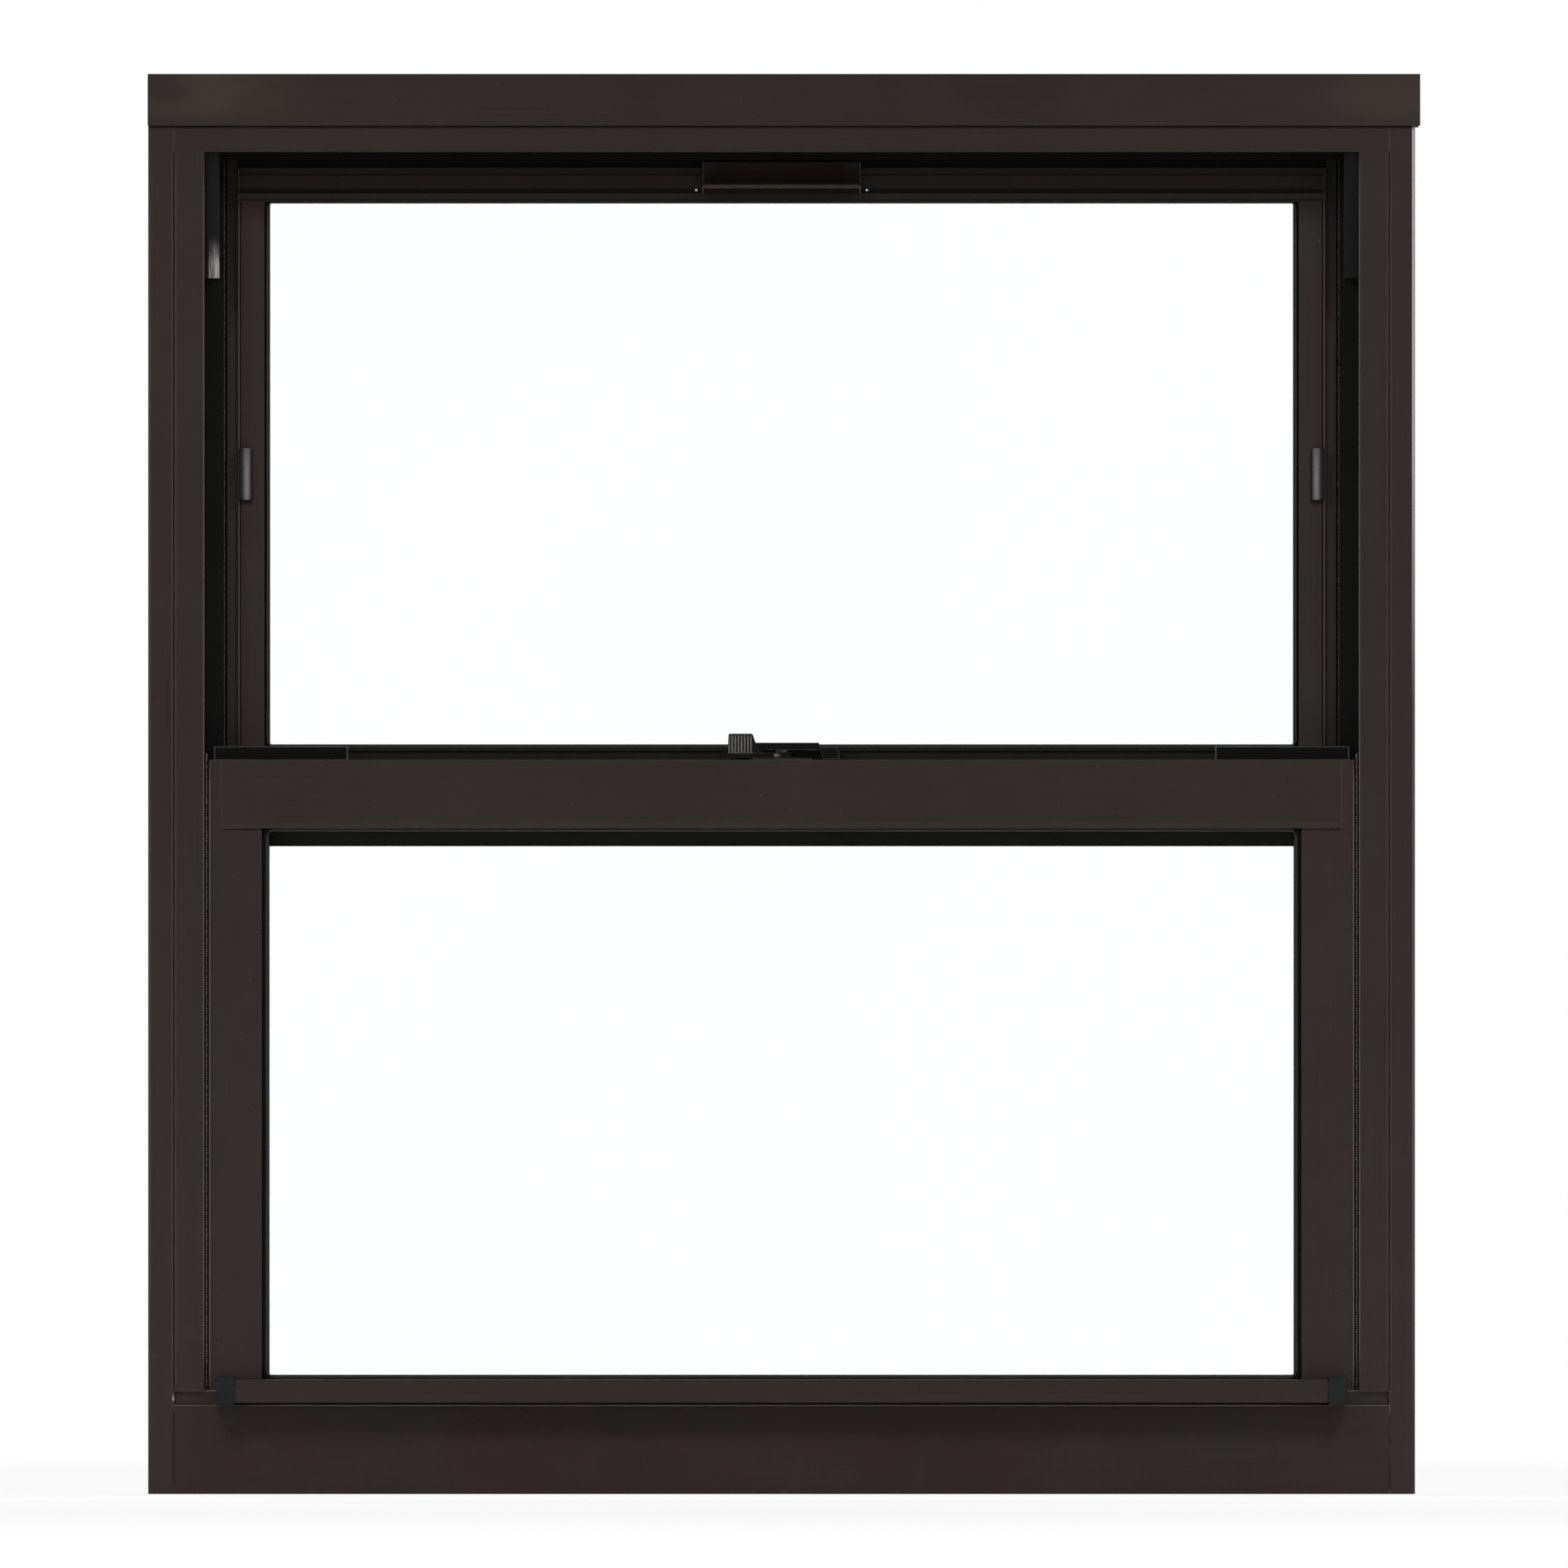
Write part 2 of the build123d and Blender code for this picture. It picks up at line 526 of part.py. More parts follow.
# Upper top rail: fascia, bead, groove, panel and lip, with a back part up into the head
bead_low = upper_rail_bottom + UPPER_FASCIA
bead_high = bead_low + UPPER_BEAD
panel_low = bead_high + UPPER_GROOVE
panel_high = panel_low + UPPER_PANEL
lip_high = panel_high + UPPER_LIP
groove_y = upper_face + UPPER_GROOVE_DEPTH
panel_y = upper_face + UPPER_PANEL_DEPTH
bead_y = upper_face - UPPER_BEAD_PROUD
back_part = upper_face + UPPER_BACK_STEP
rail = outline((upper_face, upper_rail_bottom), (upper_face, bead_low), (bead_y, bead_low),
               (bead_y, bead_high), (groove_y, bead_high), (groove_y, panel_low), (panel_y, panel_low),
               (panel_y, panel_high), (upper_face, panel_high), (upper_face, lip_high),
               (back_part, lip_high), (back_part, upper_top), (upper_back, upper_top),
               (upper_back, upper_rail_bottom))
rail = ease(rail, EDGE_RADIUS, (bead_y, bead_low), (bead_y, bead_high), (upper_face, lip_high))
upper_glass_top = upper_daylight_top + GLASS_BITE + GLASS_EDGE_PLAY
rail -= block(*upper_pocket, upper_rail_bottom, upper_glass_top)
rail -= tube_void(back_part, upper_back, upper_glass_top, upper_top)
rail -= block(panel_y + SASH_WALL, back_part, upper_glass_top + SASH_WALL, lip_high - SASH_WALL)
save("upper_top_rail", along_x(rail, -upper_rail_end, upper_rail_end))

# Upper meeting rail with its bead and interlock hook
upper_glass_low = upper_daylight_bottom - GLASS_BITE - GLASS_EDGE_PLAY
rail = block(upper_face, upper_back, upper_bottom, upper_base_top)
rail += block(bead_y, upper_face, upper_base_top - MEETING_BEAD, upper_base_top)
rail = ease(rail, EDGE_RADIUS, (bead_y, upper_base_top), (bead_y, upper_base_top - MEETING_BEAD))
rail -= block(*upper_pocket, upper_glass_low, upper_base_top)
rail -= tube_void(upper_face, upper_back, upper_bottom, upper_glass_low)
hook_low = hook_level - HOOK_RISE
hook_front = upper_face - HOOK_REACH
rail += block(hook_front, upper_face, hook_low, hook_low + HOOK_THICK)
rail += block(hook_front, hook_front + HOOK_THICK, hook_low, hook_level + HOOK_LAP / 2)
save("upper_meeting_rail", along_x(rail, -upper_rail_end, upper_rail_end))

lites, spacer, room_seal, outdoor_seal = sash_glass(upper_face, upper_daylight_bottom, upper_daylight_top)
save("upper_glass", lites)
save("upper_spacer", spacer)
save("upper_inner_gasket", room_seal)
save("upper_outer_gasket", outdoor_seal)

# Balance shoes that carry the upper sash in the outdoor track
shoe_middle = (upper_face + upper_back) / 2
shoe = block(upper_half, track_floor, shoe_middle - SHOE_DEPTH / 2, shoe_middle + SHOE_DEPTH / 2)
shoe = along_z(shoe, upper_bottom, upper_bottom + SHOE_HEIGHT)
shoe = fillet(shoe.edges().filter_by(Axis.X), SHOE_RADIUS)
save_pair("balance_shoe", shoe)

# Lift bar: hooked shelf on the lower bottom rail with a sloped facet and an open underside
lift_half = lower_half - LIFT_END_INSET
lift_top = lower_base_top + LIFT_RISE
lift_bottom = lift_top - LIFT_HEIGHT
lift_front = lower_face - LIFT_REACH
facet_y = lift_front + LIFT_FACET_RUN
facet_z = lift_top - LIFT_FACET_DROP
lift_foot = sill_top + LIFT_SILL_PLAY
lift = outline((lower_face, lift_foot), (lower_face, lift_top), (facet_y, lift_top),
               (lift_front, facet_z), (lift_front, lift_bottom), (lift_front + LIFT_WALL, lift_bottom),
               (lift_front + LIFT_WALL, facet_z), (facet_y + LIFT_WALL / 2, lift_top - LIFT_WALL),
               (lower_face - LIFT_WALL, lift_top - LIFT_WALL), (lower_face - LIFT_WALL, lift_foot))
lift = ease(lift, EDGE_RADIUS, (facet_y, lift_top), (lift_front, facet_z), (lift_front, lift_bottom))
bar_half = lift_half - LIFT_CAP
save("lift_bar", along_x(lift, -bar_half, bar_half))
cap_front = lift_front - LIFT_CAP_PROUD
cap_top = lift_top + LIFT_CAP_PROUD
cap_bottom = lift_bottom - LIFT_CAP_PROUD
cap_back = room_face - LIFT_SILL_PLAY
cap = outline((lower_face, lift_foot), (lower_face, cap_top), (facet_y - LIFT_CAP_PROUD, cap_top),
              (cap_front, facet_z), (cap_front, cap_bottom), (cap_back, cap_bottom), (cap_back, lift_foot))
cap = ease(cap, LIFT_CAP_RADIUS, (facet_y - LIFT_CAP_PROUD, cap_top), (cap_front, facet_z),
           (cap_front, cap_bottom))
cap = along_x(cap, bar_half, lift_half)
save_pair("lift_cap", fillet(cap.faces().sort_by(Axis.X)[-1].edges(), LIFT_CAP_RADIUS))

# Tilt latches on top of the lower meeting rail
latch_middle = (lower_face + lower_back) / 2
latch_outer = lower_half - LATCH_INSET
latch_inner = latch_outer - LATCH_LENGTH
bolt_end = liner_face - LATCH_BOLT_PLAY
latch = along_z(block(latch_inner, latch_outer, latch_middle - LATCH_DEPTH / 2,
                      latch_middle + LATCH_DEPTH / 2), lower_top, lower_top + LATCH_HEIGHT)
latch = fillet(latch.edges().group_by(Axis.Z)[-1] + latch.edges().filter_by(Axis.Z), LATCH_RADIUS)
thumb_start = latch_inner + THUMB_INSET
thumb = block(thumb_start, thumb_start + THUMB_LENGTH,
              latch_middle - THUMB_WIDTH / 2, latch_middle + THUMB_WIDTH / 2)
latch -= along_z(thumb, lower_top + LATCH_HEIGHT - THUMB_DEPTH, lower_top + LATCH_HEIGHT)
bolt_low = lower_top + (LATCH_HEIGHT - LATCH_BOLT_HEIGHT) / 2
latch += along_z(block(latch_outer - LATCH_RADIUS, bolt_end, latch_middle - LATCH_BOLT_DEPTH / 2,
                       latch_middle + LATCH_BOLT_DEPTH / 2), bolt_low, bolt_low + LATCH_BOLT_HEIGHT)
save_pair("tilt_latch", latch)

# Sash lock: fixed plate with a riveted post, and the lever that turns on it
pivot_y = lower_face + LOCK_PIVOT_SET_BACK
plate_top = lower_top + LOCK_PLATE
lever_low = plate_top + LEVER_PLAY
lever_high = lever_low + LEVER_THICK
rivet_low = lever_high + LEVER_PLAY
plate = Pos(0, pivot_y) * RectangleRounded(2 * LOCK_PLATE_HALF, LOCK_PLATE_DEPTH, LOCK_PLATE_RADIUS)
lock_base = along_z(plate, lower_top, plate_top)
lock_base += along_z(Pos(0, pivot_y) * Circle(PIVOT_RADIUS), plate_top, rivet_low)
rivet = along_z(Pos(0, pivot_y) * Circle(RIVET_RADIUS), rivet_low, rivet_low + RIVET_HEIGHT)
rivet = fillet(rivet.edges().group_by(Axis.Z)[-1], RIVET_ROUND)
save("lock_base", lock_base + rivet)

arm = block(-LEVER_LENGTH, 0, -LEVER_WIDTH / 2, LEVER_WIDTH / 2) + Circle(LEVER_HUB_RADIUS)
cam = block(-CAM_HALF, CAM_HALF, 0, CAM_REACH)
cam = fillet(cam.vertices().group_by(Axis.Y)[-1], CAM_RADIUS)
plate = arm + cam
lever = along_z(Pos(0, pivot_y) * plate, lever_low, lever_high)
grip_high = lower_top + GRIP_TOP
neck_start = GRIP_LENGTH - LEVER_LENGTH
neck_end = neck_start + NECK_LENGTH
neck_flank = (neck_start + NECK_FLANK_RUN, lever_high + NECK_FLANK_RISE)
neck_middle = (neck_start + NECK_MIDDLE_RUN, lever_high + NECK_MIDDLE_RISE)
grip_corner = (GRIP_TAPER - LEVER_LENGTH, grip_high)
side = make_face(Polyline((neck_end, lever_high), (neck_end, lever_low), (-LEVER_LENGTH, lever_low),
                          grip_corner, (neck_start, grip_high), neck_flank)
                 + ThreePointArc(neck_flank, neck_middle, (neck_end, lever_high)))
side = ease(side, GRIP_RADIUS, grip_corner, (neck_start, grip_high))
rib_pitch = GRIP_LENGTH / GRIP_RIBS
rib_points = []
for rib in range(GRIP_RIBS):
    rib_points.append((-LEVER_LENGTH + rib * rib_pitch, pivot_y - LEVER_WIDTH / 2 + GRIP_RIB_DEPTH))
    rib_points.append((-LEVER_LENGTH + rib * rib_pitch + rib_pitch / 2, pivot_y - LEVER_WIDTH / 2))
rib_points.append((neck_start, pivot_y - LEVER_WIDTH / 2 + GRIP_RIB_DEPTH))
rib_points.append((neck_end, pivot_y - LEVER_WIDTH / 2 + GRIP_RIB_DEPTH))
rib_points.append((neck_end, pivot_y + LEVER_WIDTH / 2))
rib_points.append((-LEVER_LENGTH, pivot_y + LEVER_WIDTH / 2))
grip = along_y(side, pivot_y - LEVER_WIDTH / 2, pivot_y + LEVER_WIDTH / 2)
grip_plain = block(-LEVER_LENGTH, neck_end, pivot_y - LEVER_WIDTH / 2, pivot_y + LEVER_WIDTH / 2)
grip_rim = grip & along_z(grip_plain, grip_high - GRIP_RIM, grip_high)
lever += (grip & along_z(outline(*rib_points), lever_low, grip_high)) + grip_rim
lever -= along_z(Pos(0, pivot_y) * Circle(PIVOT_RADIUS + PIVOT_PLAY), lever_low, lever_high)
save("lock_lever", lever)

# Keeper: bridge with ears on the upper meeting rail, over the lever's cam
keeper_low = lower_top + KEEPER_LIFT
ear_high = lower_top + KEEPER_EAR_HEIGHT
bridge_high = lower_top + KEEPER_BRIDGE_HEIGHT
ear_half = KEEPER_HALF - KEEPER_EAR_SLOPE
bridge_half = KEEPER_BRIDGE_HALF - KEEPER_BRIDGE_SLOPE
front = outline((-KEEPER_HALF, keeper_low), (-ear_half, ear_high), (-KEEPER_BRIDGE_HALF, ear_high),
                (-bridge_half, bridge_high), (bridge_half, bridge_high), (KEEPER_BRIDGE_HALF, ear_high),
                (ear_half, ear_high), (KEEPER_HALF, keeper_low))
front = ease(front, KEEPER_RADIUS, (-ear_half, ear_high), (ear_half, ear_high),
             (-bridge_half, bridge_high), (bridge_half, bridge_high))
mouth_high = lower_top + KEEPER_MOUTH_HEIGHT
mouth_half = KEEPER_MOUTH_HALF - KEEPER_MOUTH_SLOPE
mouth = outline((-KEEPER_MOUTH_HALF, keeper_low), (-mouth_half, mouth_high), (mouth_half, mouth_high),
                (KEEPER_MOUTH_HALF, keeper_low))
keeper_face = bead_y - KEEPER_REACH
keeper = along_y(front, keeper_face, bead_y) - along_y(mouth, keeper_face, bead_y - KEEPER_BACK)
save("lock_keeper", keeper)

# Sash pull: plate on the upper top rail with a nose to draw the sash down
pull_y = bead_y - PULL_PLATE
pull_top = parting_bottom - PULL_HEAD_GAP
pull_bottom = pull_top - PULL_HEIGHT
nose_level = pull_bottom + PULL_NOSE_RISE
nose_top = pull_bottom + PULL_NOSE_HEIGHT
nose_front = pull_y - PULL_NOSE
pull = outline((bead_y, pull_bottom), (bead_y, pull_top), (pull_y, pull_top), (pull_y, nose_top),
               (nose_front, nose_level + PULL_TIP / 2), (nose_front, nose_level - PULL_TIP / 2),
               (pull_y, pull_bottom))
pull = ease(pull, EDGE_RADIUS, (nose_front, nose_level + PULL_TIP / 2),
            (nose_front, nose_level - PULL_TIP / 2), (pull_y, pull_top))
save("upper_sash_pull", along_x(pull, -PULL_HALF, PULL_HALF))

# Vent stops: convex blocks on the upper stiles
vent_inner = upper_rail_end - VENT_EDGE_INSET - VENT_WIDTH
vent_bottom = lower_top + VENT_RISE
vent_middle = vent_inner + VENT_WIDTH / 2
vent_outer = vent_inner + VENT_WIDTH
vent_edge = upper_face - VENT_SIDE
vent_round = make_face(Polyline((vent_inner, vent_edge), (vent_inner, upper_face),
                                (vent_outer, upper_face), (vent_outer, vent_edge))
                       + ThreePointArc((vent_outer, vent_edge), (vent_middle, upper_face - VENT_PROUD),
                                       (vent_inner, vent_edge)))
vent = along_z(vent_round, vent_bottom, vent_bottom + VENT_HEIGHT)
vent_ends = vent.edges().group_by(Axis.Z)
save_pair("vent_stop", fillet([edge for edge in vent_ends[0] + vent_ends[-1]
                               if edge.center().Y < vent_edge], VENT_END_RADIUS))
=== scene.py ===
import math

import bpy
import numpy as np
from bpy.props import FloatProperty, FloatVectorProperty, PointerProperty
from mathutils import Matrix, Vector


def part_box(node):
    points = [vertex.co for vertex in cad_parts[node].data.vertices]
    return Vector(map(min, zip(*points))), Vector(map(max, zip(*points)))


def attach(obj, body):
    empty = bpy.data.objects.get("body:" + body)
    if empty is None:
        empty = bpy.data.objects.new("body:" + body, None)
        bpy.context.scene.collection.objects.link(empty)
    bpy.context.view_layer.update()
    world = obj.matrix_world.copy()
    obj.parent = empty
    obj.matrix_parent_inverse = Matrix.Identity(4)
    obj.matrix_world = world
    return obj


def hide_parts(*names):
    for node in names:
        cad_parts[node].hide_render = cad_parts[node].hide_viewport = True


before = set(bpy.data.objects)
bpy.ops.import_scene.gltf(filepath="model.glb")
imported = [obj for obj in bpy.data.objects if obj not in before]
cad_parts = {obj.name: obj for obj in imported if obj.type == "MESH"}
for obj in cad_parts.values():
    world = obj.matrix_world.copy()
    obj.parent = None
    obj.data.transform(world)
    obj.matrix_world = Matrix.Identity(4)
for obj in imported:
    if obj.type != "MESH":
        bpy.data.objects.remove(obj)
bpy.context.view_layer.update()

# Room-side look of a dark bronze double hung window. Metres, +X right, +Y outdoors, +Z up.

bl_info = {
    "name": "Double hung window finish",
    "version": (1, 0, 0),
    "blender": (4, 5, 0),
    "location": "View3D > Sidebar > Window",
    "description": "Finishes, seals, fasteners and studio for a bronze double hung window",
    "category": "Object",
}

MM = 0.001
BODY = "window"

# Extrusions by the way that they run
UPRIGHTS = ("left_jamb", "right_jamb", "upper_left_stile", "upper_right_stile",
            "lower_left_stile", "lower_right_stile")
LEVELS = ("head_receptor", "frame_head", "lower_meeting_rail", "lower_bottom_rail", "lift_bar")
LINERS = ("left_jamb_liner", "right_jamb_liner", "left_balance_shoe", "right_balance_shoe")
LATCHES = ("left_tilt_latch", "right_tilt_latch")
VENT_STOPS = ("left_vent_stop", "right_vent_stop")
STOPS = ("left_sash_stop", "right_sash_stop")
CAPS = ("left_lift_cap", "right_lift_cap")
LOCK = ("lock_base", "lock_keeper")
GLASS = ("upper_glass", "lower_glass")
SPACERS = ("upper_spacer", "lower_spacer")

# Stretch of the drawn lines, along either way of an extrusion
ALONG_X = (0.015, 1.0, 1.0)
ALONG_Z = (1.0, 1.0, 0.015)

# Strength of the drawn lines, specks and painted shade in inner corners in every finish
LINE_SHARE = 0.14
SPECK_SHARE = 0.5
CREVICE_SHADE_SHARE = 0.8

# Half length of a mark that runs past both ends of its piece
ALL = 1.0

# Sides of the groove in each jamb's face, out from the middle of the window
GROOVE_SIDES = (435.1 * MM, 437.7 * MM)

# Colours of marks: painted highlights, glints, sheen and shade, and real nicks and scratches
PAINTED_EDGE_HIGHLIGHT = (0.60, 0.53, 0.53)
BARE_EDGE_AND_HIGHLIGHT = (0.30, 0.275, 0.26)
EDGE_HIGHLIGHT_LINE = (0.125, 0.112, 0.102)
BARE_SPOT = (0.50, 0.46, 0.44)
STOP_FOOT_HIGHLIGHT = (0.74, 0.66, 0.67)
PAINTED_SHADE_BLACK = (0.0012, 0.0012, 0.0012)
LATCH_EDGE_HIGHLIGHT = (0.13, 0.13, 0.13)
VENT_FACE_SHEEN = (0.036, 0.039, 0.046)
VENT_BAND_HIGHLIGHT = (0.22, 0.198, 0.204)
LOCK_GLINT = (0.26, 0.24, 0.24)
GRIP_RIDGE_HIGHLIGHT = (0.27, 0.25, 0.25)


class WindowFinish(bpy.types.PropertyGroup):
    """Colours and gloss of the window's surfaces."""

    bronze: FloatVectorProperty(
        name="Bronze", description="Anodised face in plain light", subtype="COLOR",
        size=3, min=0, max=1, default=(0.0300, 0.0246, 0.0216))
    bronze_warm: FloatVectorProperty(
        name="Warm bronze", description="Reddish patches in the anodising", subtype="COLOR",
        size=3, min=0, max=1, default=(0.0350, 0.0212, 0.0202))
    bronze_gloss: FloatProperty(
        name="Bronze roughness", description="Roughness of the anodised faces", subtype="FACTOR",
        min=0, max=1, default=0.46)
    # Outer edges: rubbed finish and painted highlight in one bright line.
    edge_wear_and_highlight: FloatVectorProperty(
        name="Worn and highlighted edge", description="Thin bright line on outer edges, rubbed finish and painted highlight", subtype="COLOR",
        size=3, min=0, max=1, default=(0.105, 0.094, 0.086))
    edge_reach: FloatProperty(
        name="Edge reach", description="Width of the rubbed and highlighted line along the extrusions' edges",
        subtype="DISTANCE", min=0, default=0.6 * MM)
    # Inner corners: painted shade.
    crevice_reach: FloatProperty(
        name="Crevice reach", description="How far the painted shade reaches out of inner corners",
        subtype="DISTANCE", min=0, default=2.2 * MM)
    # Painted shade: darker colour for the room side of the upper meeting rail.
    painted_shade_bronze: FloatVectorProperty(
        name="Shaded bronze", description="Painted shade on the upper meeting rail's room side", subtype="COLOR",
        size=3, min=0, max=1, default=(0.0106, 0.0108, 0.0088))
    plastic: FloatVectorProperty(
        name="Black plastic", description="Moulded hardware", subtype="COLOR",
        size=3, min=0, max=1, default=(0.0036, 0.0037, 0.0040))
    liner: FloatVectorProperty(
        name="Track liner", description="Dull black of the tracks", subtype="COLOR",
        size=3, min=0, max=1, default=(0.0140, 0.0136, 0.0132))
    cap: FloatVectorProperty(
        name="End cap", description="Lift bar's end caps", subtype="COLOR",
        size=3, min=0, max=1, default=(0.0125, 0.0150, 0.0148))
    enamel: FloatVectorProperty(
        name="Lock enamel", description="Satin black on the sash lock", subtype="COLOR",
        size=3, min=0, max=1, default=(0.0040, 0.0040, 0.0042))
    rubber: FloatVectorProperty(
        name="Gasket rubber", description="Glazing gasket", subtype="COLOR",
        size=3, min=0, max=1, default=(0.0105, 0.0112, 0.0104))
    pile: FloatVectorProperty(
        name="Pile", description="Fibres of the weather seals", subtype="COLOR",
        size=3, min=0, max=1, default=(0.170, 0.162, 0.148))
    glass: FloatVectorProperty(
        name="Glass", description="Tint of each lite", subtype="COLOR",
        size=3, min=0, max=1, default=(0.992, 1.0, 0.996))
    spacer: FloatVectorProperty(
        name="Spacer", description="Bar between the lites", subtype="COLOR",
        size=3, min=0, max=1, default=(0.020, 0.020, 0.020))
    steel: FloatVectorProperty(
        name="Bare metal", description="Pins beside the sash pull", subtype="COLOR",
        size=3, min=0, max=1, default=(0.90, 0.88, 0.85))


class WindowSeals(bpy.types.PropertyGroup):
    """Sizes of the gaskets and of the pile seals."""

    bead_width: FloatProperty(
        name="Bead width", description="Rounded part of the gasket that shows", subtype="DISTANCE",
        min=0, default=3.6 * MM)
    flange_height: FloatProperty(
        name="Flange height", description="Flat part of the gasket under the metal lip",
        subtype="DISTANCE", min=0, default=1.2 * MM)
    daylight_radius: FloatProperty(
        name="Daylight radius", description="Corner of the clear glass", subtype="DISTANCE",
        min=0, default=1.2 * MM)
    corner_radius: FloatProperty(
        name="Corner radius", description="Bend of the gasket's outer side at a corner",
        subtype="DISTANCE", min=0, default=9.0 * MM)
    waver: FloatProperty(
        name="Waver", description="How far the gasket wanders along its length",
        subtype="DISTANCE", min=0, default=0.35 * MM)
    bead_pitch: FloatProperty(
        name="Tuft pitch", description="Spacing of the tufts along a pile seal",
        subtype="DISTANCE", min=0, default=1.7 * MM)
    bead_swell: FloatProperty(
        name="Tuft swell", description="How much a tuft stands out between its ties", subtype="FACTOR",
        min=0, max=1, default=0.22)
    fibre_pitch: FloatProperty(
        name="Fibre pitch", description="Spacing of the loose fibres along a pile seal",
        subtype="DISTANCE", min=0, default=0.55 * MM)
    fibre_width: FloatProperty(
        name="Fibre width", description="Thickness of a loose fibre at its root",
        subtype="DISTANCE", min=0, default=0.22 * MM)


class WindowStudio(bpy.types.PropertyGroup):
    """Camera and light."""

    picture_width: FloatProperty(
        name="Picture width", description="Width in view at the frame's room face",
        subtype="DISTANCE", min=0, default=1.1262)
    centre: FloatVectorProperty(
        name="Picture centre", description="Point in the frame's room face at the middle of the view",
        subtype="TRANSLATION", size=3, default=(0.00175, -0.051, 0.510))
    distance: FloatProperty(
        name="Camera distance", description="From the room face", subtype="DISTANCE",
        min=0, default=40.0)
    side_power: FloatProperty(
        name="Side lamps", description="Power of each side softbox", subtype="POWER",
        min=0, default=4.8)
    spread: FloatProperty(
        name="Spread", description="Beam of each side softbox", subtype="ANGLE",
        min=0, default=math.radians(80))
    back_power: FloatProperty(
        name="Back lamps", description="Power of each outdoor softbox", subtype="POWER",
        min=0, default=2.6)
    low_power: FloatProperty(
        name="Low lamps", description="Power of each low fill", subtype="POWER",
        min=0, default=0.4)
    ambient: FloatProperty(
        name="Ambient", description="Plain light from all round", min=0, default=0.125)
    floor_colour: FloatVectorProperty(
        name="Floor", description="Pale floor", subtype="COLOR", size=3, min=0, max=1,
        default=(0.90, 0.90, 0.90))


def put_mesh(name, vertices, faces, material, body=BODY, slot=None, smooth=True, crest=None):
    """Makes one piece from whole arrays of points and faces with equal numbers of corners."""
    mesh = bpy.data.meshes.new(name)
    corners = faces.shape[1]
    mesh.vertices.add(len(vertices))
    mesh.vertices.foreach_set("co", np.ascontiguousarray(vertices, np.float32).ravel())
    mesh.loops.add(faces.size)
    mesh.loops.foreach_set("vertex_index", np.ascontiguousarray(faces, np.int32).ravel())
    mesh.polygons.add(len(faces))
    mesh.polygons.foreach_set("loop_start", np.arange(0, faces.size, corners, dtype=np.int32))
    mesh.polygons.foreach_set("use_smooth", np.full(len(faces), smooth))
    mesh.update(calc_edges=True)
    if crest is not None:
        values = mesh.attributes.new("crest", "FLOAT", "POINT").data
        values.foreach_set("value", np.asarray(crest, np.float32))
    mesh.validate()
    mesh.materials.append(material)
    piece = bpy.data.objects.new(name, mesh)
    bpy.context.scene.collection.objects.link(piece)
    if body is not None:
        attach(piece, body)
    return piece


def grid_faces(rows, columns, wrap_rows=False, wrap_columns=False):
    """Quads of a grid of points numbered row by row, closed round either way where asked."""
    r = np.arange(rows if wrap_rows else rows - 1)
    c = np.arange(columns if wrap_columns else columns - 1)
    r0, c0 = (a.ravel() for a in np.meshgrid(r, c, indexing="ij"))
    r1, c1 = (r0 + 1) % rows, (c0 + 1) % columns
    return np.stack((r0 * columns + c0, r0 * columns + c1, r1 * columns + c1, r1 * columns + c0), axis=1)


def rounded_ring(half_width, low, high, radius, across, up):
    """Points round a rectangle with arc corners, anticlockwise in X and Z, with set numbers of steps.

    Each corner is centre + radius * (cos a, sin a) over a quarter turn, and each side is divided
    into equal steps, so rings of different sizes match point for point.
    """
    turn = np.radians(np.linspace(0, 90, 13))
    right, left, bottom, top = half_width - radius, radius - half_width, low + radius, high - radius
    corners = ((right, bottom, -90, up), (right, top, 0, across),
               (left, top, 90, up), (left, bottom, 180, across))
    arcs = [np.array((x, z)) + radius * np.stack((np.cos(turn + math.radians(start)),
                                                  np.sin(turn + math.radians(start))), axis=1)
            for x, z, start, _ in corners]
    points = []
    for number, arc in enumerate(arcs):
        target = arcs[(number + 1) % 4][0]
        share = np.linspace(0, 1, corners[number][3] + 1)[1:-1, None]
        points += [arc, arc[-1] + share * (target - arc[-1])]
    return np.concatenate(points)


def closed_tube(rings, first, last):
    """Triangles over rows of ring points, with a fan round one point at either end."""
    rows, columns = rings.shape[:2]
    quads = grid_faces(rows, columns, wrap_columns=True)
    here = np.arange(columns)
    following = (here + 1) % columns
    pole, top = np.full(columns, rows * columns), (rows - 1) * columns
    first_fan = np.stack((pole, following, here), axis=1)
    last_fan = np.stack((pole + 1, top + here, top + following), axis=1)
    faces = np.concatenate((quads[:, (0, 1, 2)], quads[:, (0, 2, 3)], first_fan, last_fan))
    return np.concatenate((rings.reshape(-1, 3), np.array((first, last)))), faces


def revolve(profile, centre, axis, count=32):
    """Surface of revolution: each (radius, height) of the profile carried round the axis.

    Point = centre + height * axis + radius * (cos a * side + sin a * other), with side and other
    at right angles to the axis. The first and last heights close on the axis.
    """
    axis = np.asarray(axis, float)
    side = np.cross(axis, (0, 0, 1)) if abs(axis[2]) < 0.9 else np.array((1.0, 0, 0))
    side /= np.linalg.norm(side)
    other = np.cross(axis, side)
    angle = np.linspace(0, 2 * math.pi, count, endpoint=False)
    ring = np.cos(angle)[:, None] * side + np.sin(angle)[:, None] * other
    radius, height = np.asarray(profile, float).T
    spine = np.asarray(centre) + height[:, None] * axis
    rings = spine[1:-1, None] + radius[1:-1, None, None] * ring[None]
    return closed_tube(rings, spine[0], spine[-1])


